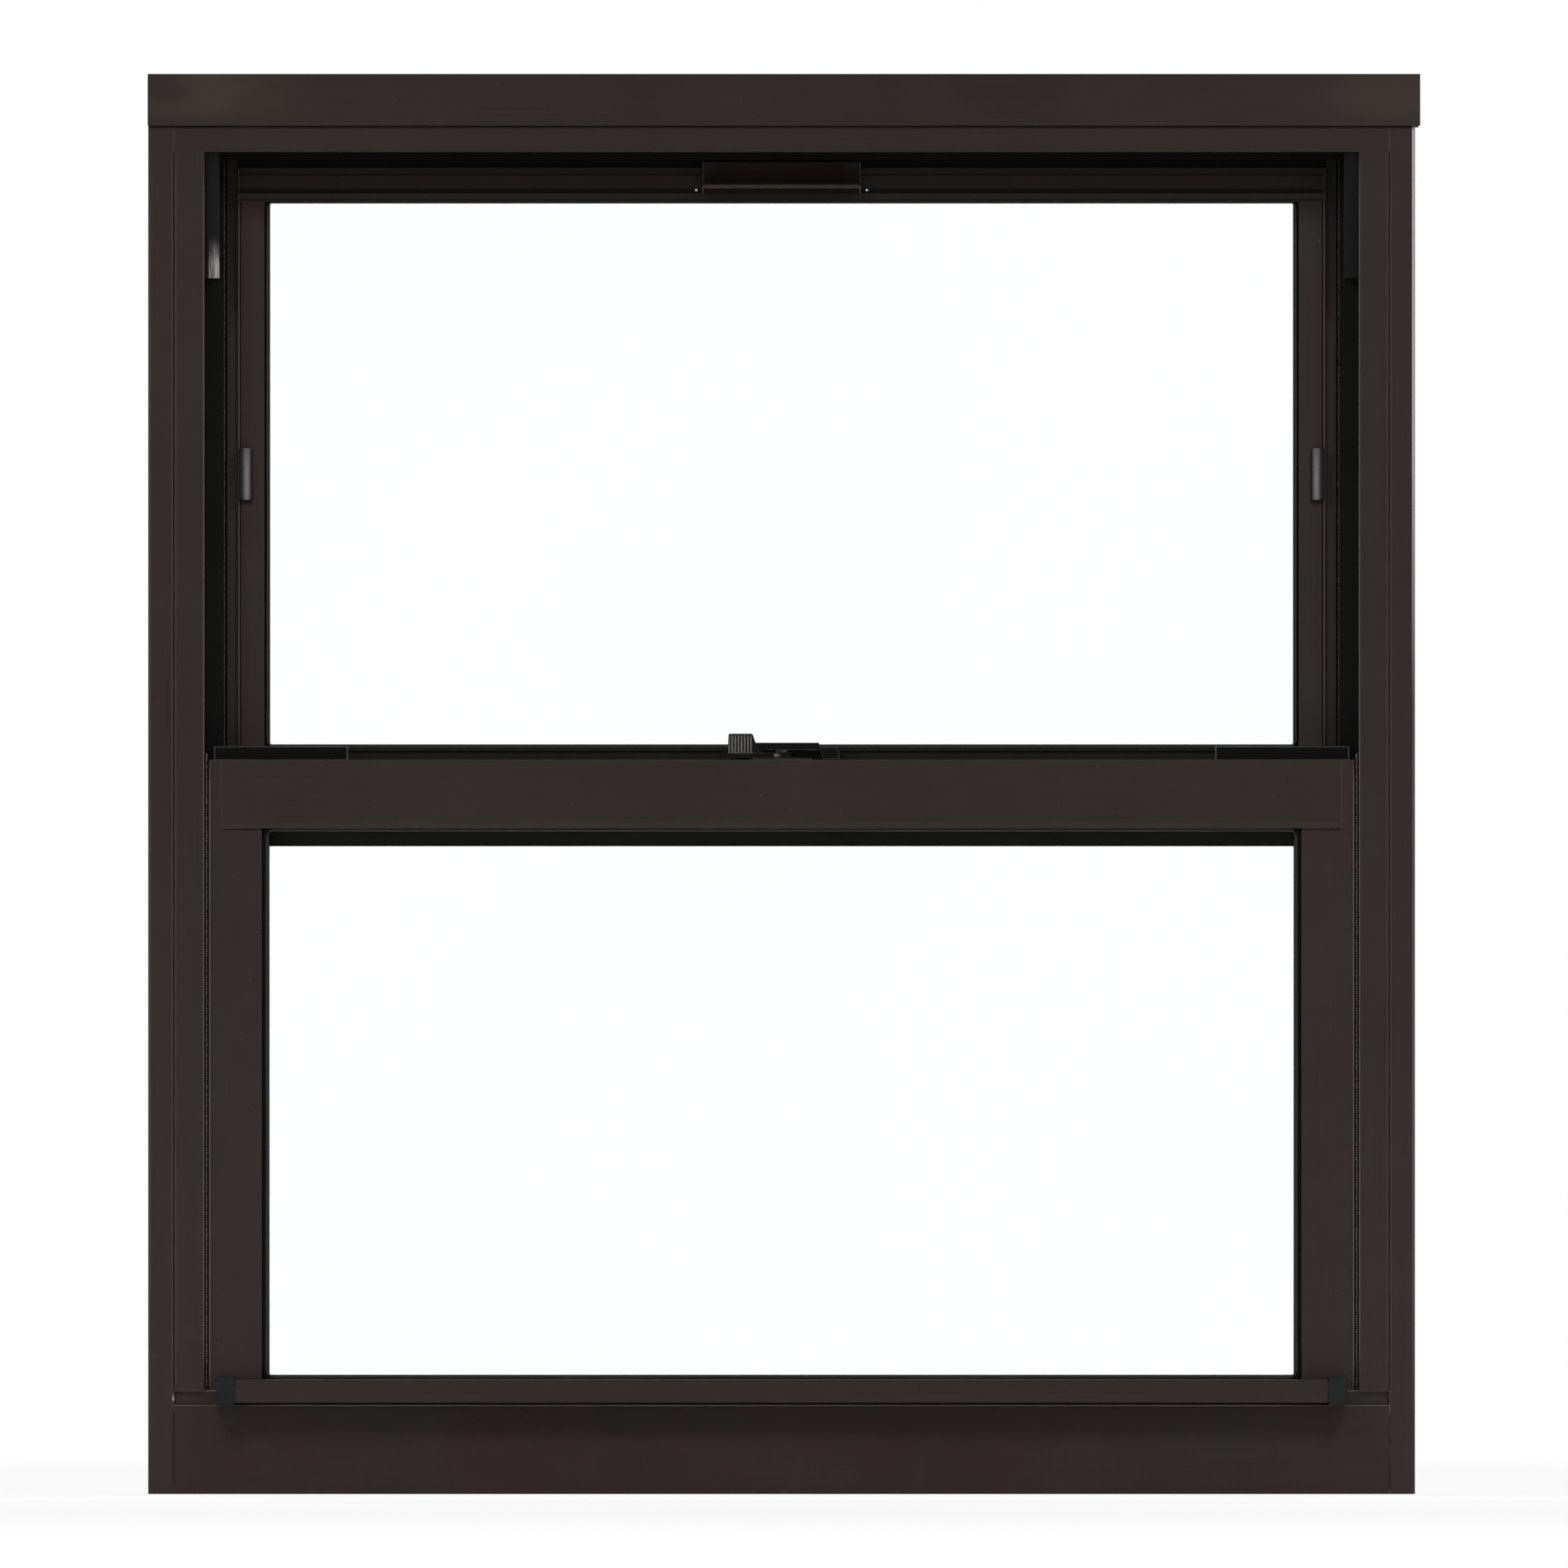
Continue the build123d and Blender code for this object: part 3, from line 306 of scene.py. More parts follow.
def join(parts):
    """One pair of arrays from several pairs of points and faces."""
    starts = np.cumsum([0] + [len(points) for points, _ in parts[:-1]])
    points = np.concatenate([points for points, _ in parts])
    return points, np.concatenate([faces + start for (_, faces), start in zip(parts, starts)])


# Node trees

def node(tree, kind, place, values=None, **settings):
    """Adds a node at a place in the tree, with its socket values and its settings."""
    made = tree.nodes.new(kind)
    made.location = (200 * place[0], -160 * place[1])
    for key, value in settings.items():
        setattr(made, key, value)
    for key, value in (values or {}).items():
        made.inputs[key].default_value = value
    return made


def wire(tree, *pairs):
    """Joins (node, output) to (node, input) for each pair of ends."""
    for (source, out), (target, into) in pairs:
        tree.links.new(source.outputs[out], target.inputs[into])


def effect(name, inputs, outputs):
    """Empty shader node group with named sockets."""
    group = bpy.data.node_groups.new(name, "ShaderNodeTree")
    for label, kind, value in inputs:
        socket = group.interface.new_socket(name=label, in_out="INPUT", socket_type=kind)
        if value is not None:
            socket.default_value = value
    for label, kind in outputs:
        group.interface.new_socket(name=label, in_out="OUTPUT", socket_type=kind)
    return group, node(group, "NodeGroupInput", (0, 0)), node(group, "NodeGroupOutput", (9, 0))


def drawn_grain():
    """Group: soft patches, reddish spots, fine lines along the stretch, pale smudges and sparse specks."""
    group, start, end = effect(
        "Drawn grain",
        (("Vector", "NodeSocketVector", None), ("Stretch", "NodeSocketVector", (1, 1, 1))),
        (("Patches", "NodeSocketFloat"), ("Warmth", "NodeSocketFloat"), ("Lines", "NodeSocketFloat"),
         ("Smudges", "NodeSocketFloat"), ("Specks", "NodeSocketFloat")))
    stretched = node(group, "ShaderNodeVectorMath", (1, 2), operation="MULTIPLY")
    wire(group, ((start, "Vector"), (stretched, 0)), ((start, "Stretch"), (stretched, 1)))
    fields = (("Patches", (0.0, 0.0, 0.0), False, 7.0, 4.0, 0.32, 0.68),
              ("Warmth", (3.7, 1.3, 8.1), False, 17.0, 4.0, 0.43, 0.61),
              ("Lines", (0.0, 0.0, 0.0), True, 620.0, 3.0, 0.30, 0.70),
              ("Smudges", (5.2, 9.4, 2.6), False, 16.0, 5.0, 0.54, 0.78),
              ("Specks", (1.9, 4.3, 6.7), False, 330.0, 1.0, 0.775, 0.83))
    for row, (label, offset, along, scale, detail, low, high) in enumerate(fields):
        moved = node(group, "ShaderNodeVectorMath", (2, row), {1: offset}, operation="ADD")
        noise = node(group, "ShaderNodeTexNoise", (3, row),
                     {"Scale": scale, "Detail": detail, "Roughness": 0.6})
        spread = node(group, "ShaderNodeMapRange", (5, row), {"From Min": low, "From Max": high})
        wire(group, ((stretched if along else start, "Vector"), (moved, 0)),
             ((moved, "Vector"), (noise, "Vector")), ((noise, "Fac"), (spread, "Value")),
             ((spread, "Result"), (end, label)))
    return group


def rub_sheen_and_crevice_shade():
    """Group: 1 along outer edges, rubbed finish that is also a painted highlight, and 1 in inner corners,
    painted shade.

    Inside the metal, rays shorter than the edge reach leave it only near an outer edge. Outside, rays
    shorter than the crevice reach are stopped only near an inner corner.
    """
    group, start, end = effect(
        "Rub, sheen and crevice shade",
        (("Vector", "NodeSocketVector", None), ("Edge reach", "NodeSocketFloat", 0.0009),
         ("Crevice reach", "NodeSocketFloat", 0.005), ("Break up", "NodeSocketFloat", 45.0)),
        (("Rub and sheen", "NodeSocketFloat"), ("Crevice shade", "NodeSocketFloat")))
    inside = node(group, "ShaderNodeAmbientOcclusion", (1, 0), samples=4, inside=True)
    outside = node(group, "ShaderNodeAmbientOcclusion", (1, 2), samples=4)
    edge = node(group, "ShaderNodeMapRange", (3, 0), {"From Min": 0.93, "From Max": 0.58})
    corner = node(group, "ShaderNodeMapRange", (3, 2), {"From Min": 0.80, "From Max": 0.22})
    broken = node(group, "ShaderNodeTexNoise", (3, 1), {"Detail": 3.0, "Roughness": 0.6})
    gate = node(group, "ShaderNodeMapRange", (4, 1), {"From Min": 0.30, "From Max": 0.66, "To Min": 0.35})
    rub = node(group, "ShaderNodeMath", (5, 0), operation="MULTIPLY")
    wire(group, ((start, "Edge reach"), (inside, "Distance")),
         ((start, "Crevice reach"), (outside, "Distance")),
         ((inside, "AO"), (edge, "Value")), ((outside, "AO"), (corner, "Value")),
         ((start, "Vector"), (broken, "Vector")), ((start, "Break up"), (broken, "Scale")),
         ((broken, "Fac"), (gate, "Value")), ((edge, "Result"), (rub, 0)), ((gate, "Result"), (rub, 1)),
         ((rub, "Value"), (end, "Rub and sheen")), ((corner, "Result"), (end, "Crevice shade")))
    return group


def local_mark():
    """Group: 1 in the core of a box, or of an ellipsoid in it, fading to 0 at its sides."""
    group, start, end = effect(
        "Local mark",
        (("Vector", "NodeSocketVector", None), ("Centre", "NodeSocketVector", (0, 0, 0)),
         ("Half", "NodeSocketVector", (1, 1, 1)), ("Core", "NodeSocketFloat", 0.4)),
        (("Box", "NodeSocketFloat"), ("Round", "NodeSocketFloat")))
    away = node(group, "ShaderNodeVectorMath", (1, 0), operation="SUBTRACT")
    share = node(group, "ShaderNodeVectorMath", (2, 0), operation="DIVIDE")
    size = node(group, "ShaderNodeVectorMath", (3, 0), operation="ABSOLUTE")
    parts = node(group, "ShaderNodeSeparateXYZ", (4, 0))
    first = node(group, "ShaderNodeMath", (5, 0), operation="MAXIMUM")
    worst = node(group, "ShaderNodeMath", (6, 0), operation="MAXIMUM")
    reach = node(group, "ShaderNodeVectorMath", (4, 2), operation="LENGTH")
    box = node(group, "ShaderNodeMapRange", (7, 0), {"From Min": 1.0})
    ball = node(group, "ShaderNodeMapRange", (7, 2), {"From Min": 1.0}, interpolation_type="SMOOTHSTEP")
    wire(group, ((start, "Vector"), (away, 0)), ((start, "Centre"), (away, 1)), ((away, 0), (share, 0)),
         ((start, "Half"), (share, 1)), ((share, 0), (size, 0)), ((size, 0), (parts, 0)),
         ((share, 0), (reach, 0)), ((parts, "X"), (first, 0)), ((parts, "Y"), (first, 1)),
         ((first, "Value"), (worst, 0)), ((parts, "Z"), (worst, 1)), ((worst, "Value"), (box, "Value")),
         ((reach, "Value"), (ball, "Value")), ((start, "Core"), (box, "From Max")),
         ((start, "Core"), (ball, "From Max")),
         ((box, "Result"), (end, "Box")), ((ball, "Result"), (end, "Round")))
    return group


def mark(centre, half, colour, share=1.0, core=0.4, shape="Box", streak=0.0, along=(1, 1, 1),
         mirrored=False):
    """One local mark: its box, colour and strength, and the scale and stretch of its streaks.

    A mirrored mark is on both sides, so its place is given without signs.
    """
    return {"centre": centre, "half": half, "colour": colour, "share": share, "core": core, "shape": shape,
            "streak": streak, "along": along, "mirrored": mirrored}


def blank(name):
    """New material with its Principled shader and Object coordinates."""
    material = bpy.data.materials.new(name)
    material.use_nodes = True
    tree = material.node_tree
    shader = tree.nodes["Principled BSDF"]
    shader.location = (2000, 0)
    tree.nodes["Material Output"].location = (2300, 0)
    return material, tree, shader, node(tree, "ShaderNodeTexCoord", (0, 2))


def placed(tree, group, place, values):
    """Puts a node group into a material with its own values."""
    return node(tree, "ShaderNodeGroup", place, values, node_tree=group)


def blend(tree, place, factor, first, second):
    """Colour mix: factor is a (node, output) end, each colour an end or a plain colour."""
    made = node(tree, "ShaderNodeMix", place, data_type="RGBA", clamp_factor=True)
    tree.links.new(factor[0].outputs[factor[1]], made.inputs["Factor"])
    for socket, colour in ((made.inputs[6], first), (made.inputs[7], second)):
        if isinstance(colour[0], bpy.types.Node):
            tree.links.new(colour[0].outputs[colour[1]], socket)
        else:
            socket.default_value = (*colour, 1)
    return (made, 2)


def scaled(tree, place, end, low, high):
    """Maps an end's 0 to 1 onto low to high."""
    made = node(tree, "ShaderNodeMapRange", place, {"To Min": low, "To Max": high})
    tree.links.new(end[0].outputs[end[1]], made.inputs["Value"])
    return (made, "Result")


def tone(colour, factor):
    """A colour made lighter or darker by a factor."""
    return tuple(min(1.0, channel * factor) for channel in colour)


def streaked(tree, row, place, item, mask):
    """Breaks a mark's mask up by noise stretched along its streaks."""
    lengthwise = node(tree, "ShaderNodeVectorMath", (3, row), {1: item["along"]}, operation="MULTIPLY")
    noise = node(tree, "ShaderNodeTexNoise", (4, row), {"Scale": item["streak"], "Detail": 3.0})
    gate = node(tree, "ShaderNodeMapRange", (5, row), {"From Min": 0.32, "From Max": 0.58})
    both = node(tree, "ShaderNodeMath", (6, row), operation="MULTIPLY")
    wire(tree, (place, (lengthwise, 0)), ((lengthwise, 0), (noise, "Vector")),
         ((noise, "Fac"), (gate, "Value")), (mask, (both, 0)), ((gate, "Result"), (both, 1)))
    return (both, "Value")


def surface_material(name, colour, warm, rub_and_sheen_colour, roughness, stretch=(1, 1, 1), specular=0.08, line_depth=0.02,
                     edge_reach=0.6 * MM, crevice_reach=3.0 * MM, rub_and_sheen_share=0.55, warm_share=0.5,
                     smudge_share=0.0, marks=()):
    """Finish with patches, drawn lines, specks, painted shade in inner corners, outer edges lightened as
    rubbed finish and painted highlight, and local marks.
    """
    material, tree, shader, coordinates = blank(name)
    place = (coordinates, "Object")
    grain = placed(tree, GROUPS["grain"], (2, 0), {"Stretch": stretch})
    wear = placed(tree, GROUPS["wear"], (2, 3), {"Edge reach": edge_reach, "Crevice reach": crevice_reach})
    wire(tree, (place, (grain, "Vector")), (place, (wear, "Vector")))
    base = blend(tree, (4, 0), (grain, "Patches"), tone(colour, 0.90), tone(colour, 1.10))
    # Inner corners darken as painted shade; outer edges lighten as rubbed finish and painted highlight.
    layers = (((grain, "Warmth"), warm_share, warm), ((grain, "Lines"), LINE_SHARE, tone(colour, 1.9)),
              ((grain, "Smudges"), smudge_share, tone(colour, 2.4)),
              ((grain, "Specks"), SPECK_SHARE, tone(colour, 4.0)),
              ((wear, "Crevice shade"), CREVICE_SHADE_SHARE, tone(colour, 0.08)), ((wear, "Rub and sheen"), rub_and_sheen_share, rub_and_sheen_colour))
    for number, (mask, share, layer) in enumerate(layers):
        if share:
            strength = scaled(tree, (4 + number, 1), mask, 0, share)
            base = blend(tree, (5 + number, 0), strength, base, layer)
    sides = node(tree, "ShaderNodeVectorMath", (1, 5), operation="ABSOLUTE")
    wire(tree, (place, (sides, 0)))
    for number, item in enumerate(marks):
        row = 5 + 2 * number
        spot = placed(tree, GROUPS["mark"], (2, row),
                      {"Centre": item["centre"], "Half": item["half"], "Core": item["core"]})
        wire(tree, ((sides, 0) if item["mirrored"] else place, (spot, "Vector")))
        mask = (spot, item["shape"])
        if item["streak"]:
            mask = streaked(tree, row, place, item, mask)
        strength = scaled(tree, (7, row), mask, 0, item["share"])
        base = blend(tree, (11 + number, 0), strength, base, item["colour"])
    rough = scaled(tree, (8, 2), (grain, "Lines"), roughness - 0.05, roughness + 0.06)
    bump = node(tree, "ShaderNodeBump", (9, 3), {"Strength": line_depth, "Distance": 0.1 * MM})
    wire(tree, (base, (shader, "Base Color")), (rough, (shader, "Roughness")),
         ((grain, "Lines"), (bump, "Height")), ((bump, "Normal"), (shader, "Normal")))
    shader.inputs["Specular IOR Level"].default_value = specular
    return material


def glass_material(finish):
    """Clear float glass with a faint green, which lets lamp light through to what is behind it."""
    material, tree, shader, coordinates = blank("window_glass")
    ripple = node(tree, "ShaderNodeTexNoise", (3, 1), {"Scale": 3.0, "Detail": 1.0})
    tint = blend(tree, (5, 0), (ripple, "Fac"), tuple(finish.glass), (1.0, 1.0, 1.0))
    wire(tree, ((coordinates, "Object"), (ripple, "Vector")), (tint, (shader, "Base Color")))
    shader.inputs["Roughness"].default_value = 0.0
    shader.inputs["IOR"].default_value = 1.5
    shader.inputs["Specular Tint"].default_value = (0.02, 0.02, 0.02, 1)
    shader.inputs["Transmission Weight"].default_value = 1.0
    clear = node(tree, "ShaderNodeBsdfTransparent", (10, 2))
    path = node(tree, "ShaderNodeLightPath", (10, -3))
    mix = node(tree, "ShaderNodeMixShader", (11, 0))
    wire(tree, ((path, "Is Shadow Ray"), (mix, 0)), ((shader, "BSDF"), (mix, 1)),
         ((clear, "BSDF"), (mix, 2)), ((mix, "Shader"), (tree.nodes["Material Output"], "Surface")))
    tree.nodes["Material Output"].location = (2500, 0)
    return material


def steel_material(finish):
    """Bare plated metal with fine scuffs."""
    material, tree, shader, coordinates = blank("bare_metal")
    scuff = node(tree, "ShaderNodeTexNoise", (3, 0), {"Scale": 900.0, "Detail": 3.0})
    base = blend(tree, (5, 0), (scuff, "Fac"), tone(finish.steel, 0.6), tuple(finish.steel))
    rough = scaled(tree, (5, 2), (scuff, "Fac"), 0.22, 0.48)
    wire(tree, ((coordinates, "Object"), (scuff, "Vector")), (base, (shader, "Base Color")),
         (rough, (shader, "Roughness")))
    shader.inputs["Metallic"].default_value = 1.0
    return material


def rubber_material(finish):
    """Black rubber, dusty, with a painted highlight along the bead's crest."""
    material, tree, shader, coordinates = blank("gasket_rubber")
    crest = node(tree, "ShaderNodeAttribute", (2, 2), attribute_name="crest")
    dust = node(tree, "ShaderNodeTexNoise", (3, 0), {"Scale": 60.0, "Detail": 4.0})
    base = blend(tree, (5, 0), (dust, "Fac"), tone(finish.rubber, 0.35), tone(finish.rubber, 0.8))
    pale = blend(tree, (5, 2), (dust, "Fac"), tone(finish.rubber, 1.8), tone(finish.rubber, 3.4))
    base = blend(tree, (7, 0), (crest, "Fac"), base, pale)
    rough = scaled(tree, (7, 2), (dust, "Fac"), 0.32, 0.52)
    wire(tree, ((coordinates, "Object"), (dust, "Vector")), (base, (shader, "Base Color")),
         (rough, (shader, "Roughness")))
    shader.inputs["Specular IOR Level"].default_value = 0.1
    return material


def pile_material(finish):
    """Woven pile: fibres that differ a little in tone, with painted highlights on the tufts and painted
    shade between them.
    """
    material, tree, shader, coordinates = blank("pile")
    crest = node(tree, "ShaderNodeAttribute", (2, 2), attribute_name="crest")
    fleck = node(tree, "ShaderNodeTexNoise", (3, 0), {"Scale": 1400.0, "Detail": 2.0})
    # Tufts lightened as painted highlight, the neck near black as painted shade.
    pale = blend(tree, (5, 0), (fleck, "Fac"), tone(finish.pile, 1.2), tone(finish.pile, 4.2))
    base = blend(tree, (7, 0), (crest, "Fac"), tone(finish.pile, 0.05), pale)
    wire(tree, ((coordinates, "Object"), (fleck, "Vector")), (base, (shader, "Base Color")))
    shader.inputs["Roughness"].default_value = 0.85
    shader.inputs["Specular IOR Level"].default_value = 0.15
    return material


def dress(nodes, material):
    """Gives the material to each CAD node."""
    for name in nodes:
        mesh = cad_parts[name].data
        mesh.materials.clear()
        mesh.materials.append(material)


GROUPS = {}


def make_groups():
    """Builds the shared effects once."""
    if not GROUPS:
        GROUPS["grain"] = drawn_grain()
        GROUPS["wear"] = rub_sheen_and_crevice_shade()
        GROUPS["mark"] = local_mark()


# Wear, painted highlights and painted shade on the bronze

def sill_joint(finish):
    """Dark joint where the sill butts against each jamb."""
    low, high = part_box("sill")
    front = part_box("right_jamb")[0].y
    return mark((high.x + 0.2 * MM, -front, low.z + 32 * MM), (0.8 * MM, 3 * MM, 31 * MM),
                tone(finish.bronze_warm, 0.35), 0.85, 0.8, mirrored=True)


def upright_wear(finish):
    """Painted highlights on the jambs' arrises, on the edges of the jambs and stiles and beside the face
    grooves, a painted lighter band on the upper stiles, and bare spots at the sill.
    """
    jamb_low, jamb_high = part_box("right_jamb")
    sash_low, sash_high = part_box("lower_right_stile")
    sill_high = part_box("sill")[1]
    rail_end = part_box("upper_top_rail")[1].x
    front, corner = jamb_low.y, jamb_high.x - 1.3 * MM
    middle = (jamb_low.z + jamb_high.z) / 2
    edge_y, face_y, sash_y = front + 1.0 * MM, -front - 0.6 * MM, -sash_low.y - 0.6 * MM
    upper_y, face_middle = 4 * MM, 0.52
    marks = [
        # Painted highlights on the jambs' outer arrises: bright high on the right, fainter lower down and
        # on the left.
        mark((corner, edge_y, 0.87), (1.1 * MM, 3 * MM, 0.30), PAINTED_EDGE_HIGHLIGHT, 0.85),
        mark((corner, edge_y, 0.40), (0.8 * MM, 3 * MM, 0.36), BARE_EDGE_AND_HIGHLIGHT, 0.30),
        mark((-corner, edge_y, middle), (0.8 * MM, 3 * MM, middle), BARE_EDGE_AND_HIGHLIGHT, 0.12),
        # Painted highlight lines on the jambs' inner edges, the lower stiles' outer edges and the upper
        # stiles' steps.
        mark((sash_high.x + 3.6 * MM, face_y, face_middle), (0.4 * MM, 1.2 * MM, 0.444), EDGE_HIGHLIGHT_LINE,
             0.8, 0.9, mirrored=True),
        mark((sash_high.x - 0.5 * MM, sash_y, 0.30), (0.55 * MM, 1.2 * MM, 0.23), EDGE_HIGHLIGHT_LINE,
             1.0, 0.9, mirrored=True),
        mark((rail_end - 0.6 * MM, upper_y, 0.75), (0.5 * MM, 20 * MM, 0.215), EDGE_HIGHLIGHT_LINE,
             0.6, 0.9, mirrored=True),
        # Painted light: a lighter band on each upper stile's outer strip.
        mark((rail_end + 4.4 * MM, upper_y, 0.70), (3.6 * MM, 20 * MM, 0.19), tone(finish.bronze, 1.7),
             0.9, 0.7, mirrored=True),
        # A bare nick and a scratch at the sill's ends.
        mark((-sill_high.x - 0.4 * MM, front, sill_high.z - 5.3 * MM), (0.75 * MM, 4 * MM, 3.4 * MM),
             BARE_SPOT, 1.0, 0.4, "Round", 700.0),
        mark((sill_high.x + 0.2 * MM, front, 42 * MM), (0.45 * MM, 4 * MM, 24 * MM), BARE_EDGE_AND_HIGHLIGHT,
             0.7, 0.6, streak=150.0)]
    # Painted highlight lines on both sides of each face groove.
    marks += [mark((x, face_y, face_middle), (0.5 * MM, 1.2 * MM, 0.46), tone(finish.bronze, 1.9),
                   0.7, 0.9, mirrored=True) for x in GROOVE_SIDES]
    return (*marks, sill_joint(finish))


def level_wear(finish):
    """Painted shade on the lift bar's top, smudged ends of the receptor and painted shade in the recess
    under the head.
    """
    low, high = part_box("head_receptor")
    bar_low, bar_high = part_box("lift_bar")
    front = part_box("right_jamb")[0].y
    recess = (0, 10 * MM, 962 * MM)
    return (
        # Painted shade: the lift bar's top darker.
        mark((0, bar_low.y, bar_high.z - 3 * MM), (ALL, 14 * MM, 8 * MM), tone(finish.bronze, 0.90),
             core=0.5),
        mark((low.x + 40 * MM, front, high.z - 14 * MM), (100 * MM, 40 * MM, 30 * MM),
             tone(finish.bronze, 2.3), 0.50, 0.1, "Round", 24.0, (0.6, 1.0, 1.6)),
        mark((high.x - 20 * MM, front, high.z - 16 * MM), (80 * MM, 40 * MM, 30 * MM),
             tone(finish.bronze, 1.55), 0.85, 0.2, "Round"),
        # Painted shade: near black in the recess under the head.
        mark(recess, (ALL, 45 * MM, 30 * MM), tone(finish.bronze, 0.08), 0.9, 0.8))


def strips(finish, foot, rows):
    """Level strips above a foot: middle and half height in mm, tone of the bronze, core."""
    return [mark((0, 0, foot + up * MM), (ALL, ALL, half * MM), tone(finish.bronze, factor), core=core)
            for up, half, factor, core in rows]


def rail_wear(finish):
    """Painted light and shade on the top rail, from below: darker fascia, lighter bead, darker groove,
    lighter panel, dark step and near-black lip, then painted highlight lines at its ends.
    """
    low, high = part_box("upper_top_rail")
    # Tones below 1 are painted shade, tones above 1 painted light.
    rows = ((1.0, 1.2, 0.62, 0.95), (5.4, 0.7, 1.5, 0.7), (7.8, 1.6, 0.40, 0.9), (14.0, 4.8, 1.35, 0.8),
            (19.6, 0.6, 0.10, 0.8), (32.0, 7.2, 0.05, 0.95))
    ends = mark((high.x - 0.5 * MM, 0, low.z + 12.0 * MM), (0.55 * MM, ALL, 12 * MM), EDGE_HIGHLIGHT_LINE,
                0.6, 0.9, mirrored=True)
    return (*strips(finish, low.z, rows), ends)


def pull_wear(finish):
    """Painted light on the sash pull: bright upper slope of its nose and lighter tip, painted shade on its
    underside, then painted highlights at its ends.
    """
    low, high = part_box("upper_sash_pull")
    rows = ((6.2, 1.5, 11.0, 0.85), (4.2, 0.9, 2.6, 0.7), (1.7, 2.1, 0.6, 0.9))
    ends = mark((high.x - 0.4 * MM, 0, low.z), (0.5 * MM, ALL, ALL), tone(finish.bronze, 5.5),
                0.8, 0.8, mirrored=True)
    return (*strips(finish, low.z, rows), ends)


def sill_wear(finish):
    """Painted highlight lines on the sill's lip and face edges, stronger under the lift bar where its
    shadow falls, its joints with the jambs and three reddish patches.
    """
    front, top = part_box("right_jamb")[0].y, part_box("sill")[1].z
    face_edge = (0, front + 0.4 * MM, 63.9 * MM)
    edges = (
        # Painted highlight lines on the lip's top edge and the face's top edge.
        mark((0, front + 6 * MM, top - 0.3 * MM), (ALL, 9 * MM, 0.6 * MM), EDGE_HIGHLIGHT_LINE, 0.8, 0.9),
        mark(face_edge, (ALL, 1.6 * MM, 0.6 * MM), EDGE_HIGHLIGHT_LINE, 0.5, 0.9),
        # Painted light: the face edge lighter under the lift bar, in its shadow.
        mark(face_edge, (0.39, 1.6 * MM, 0.6 * MM), BARE_EDGE_AND_HIGHLIGHT, 0.7, 0.9), sill_joint(finish))
    patches = tuple(mark((x, front, 30 * MM), (0.11, 40 * MM, 40 * MM), tone(finish.bronze_warm, 0.86),
                         0.85, 0.1, "Round", 30.0, (0.7, 1.0, 1.3)) for x in (-0.37, -0.20, 0.12))
    return edges + patches


def meeting_wear(finish):
    """Painted shade on the room side of the upper meeting rail."""
    return (mark((0, 6 * MM, 0.51), (ALL, 12 * MM, ALL), tuple(finish.painted_shade_bronze), core=0.8),)


class WINDOW_OT_bronze(bpy.types.Operator):
    """Anodise the frame and both sashes"""

    bl_idname = "window.bronze"
    bl_label = "Bronze extrusions"

    def execute(self, context):
        finish = context.scene.window_finish
        make_groups()
        for name, nodes, lighter, redder, warm_share, stretch, specular, wear in (
                ("bronze_upright", UPRIGHTS, 1.0, 1.0, 0.55, ALONG_Z, 0.08, upright_wear),
                ("bronze_level", LEVELS, 0.97, 1.0, 0.2, ALONG_X, 0.08, level_wear),
                ("bronze_rail", ("upper_top_rail",), 1.0, 1.0, 0.2, ALONG_X, 0.08, rail_wear),
                # Sash pull: base colours lightened as painted light for its place in shade under the head.
                ("bronze_pull", ("upper_sash_pull",), 2.3, 1.9, 0.3, ALONG_X, 0.0, pull_wear),
                ("bronze_sill", ("sill",), 0.88, 0.92, 0.95, ALONG_X, 0.08, sill_wear),
                ("bronze_meeting", ("upper_meeting_rail",), 1.0, 1.0, 0.35, ALONG_X, 0.08, meeting_wear)):
            dress(nodes, surface_material(
                name, tone(finish.bronze, lighter), tone(finish.bronze_warm, redder),
                tuple(finish.edge_wear_and_highlight), finish.bronze_gloss, stretch=stretch, specular=specular,
                line_depth=0.05, edge_reach=finish.edge_reach, crevice_reach=finish.crevice_reach,
                rub_and_sheen_share=0.6, warm_share=warm_share, smudge_share=0.10, marks=wear(finish)))
        return {"FINISHED"}


# Painted highlights and painted shade on the black hardware

def stop_wear(plastic):
    """Painted highlight on the left sash stop's foot, a black strip of painted shade along it, and painted
    shade on the right one.
    """
    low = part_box("left_sash_stop")[0]
    return (
        # Painted highlight: pale streaks on the left stop's foot.
        mark((low.x + 16.4 * MM, low.y, low.z - 2 * MM), (9 * MM, 12 * MM, 34 * MM), STOP_FOOT_HIGHLIGHT,
             0.95, 0.25, "Round", 900.0, (1.0, 1.0, 0.06)),
        # Painted shade: a black strip along the left stop's outer side.
        mark((low.x + 10.6 * MM, low.y, low.z + 45 * MM), (2.4 * MM, 8 * MM, 60 * MM), PAINTED_SHADE_BLACK,
             core=0.8),
        # Painted shade: the right stop darker.
        mark((-low.x, low.y, low.z), (30 * MM, ALL, ALL), tone(plastic, 0.4), 0.9, 0.9))


def latch_wear():
    """Painted highlights at both ends of a tilt latch and along its top."""
    low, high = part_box("right_tilt_latch")
    # Painted highlights on the latch's end edges.
    ends = [mark((x, 0, high.z), (0.55 * MM, ALL, 12 * MM), LATCH_EDGE_HIGHLIGHT, 0.8, 0.7, mirrored=True)
            for x in (low.x + 0.5 * MM, low.x + 96.0 * MM)]
    return (*ends, mark((0, 0, high.z - 0.3 * MM), (ALL, ALL, 0.6 * MM), LATCH_EDGE_HIGHLIGHT, 0.22, 0.8))


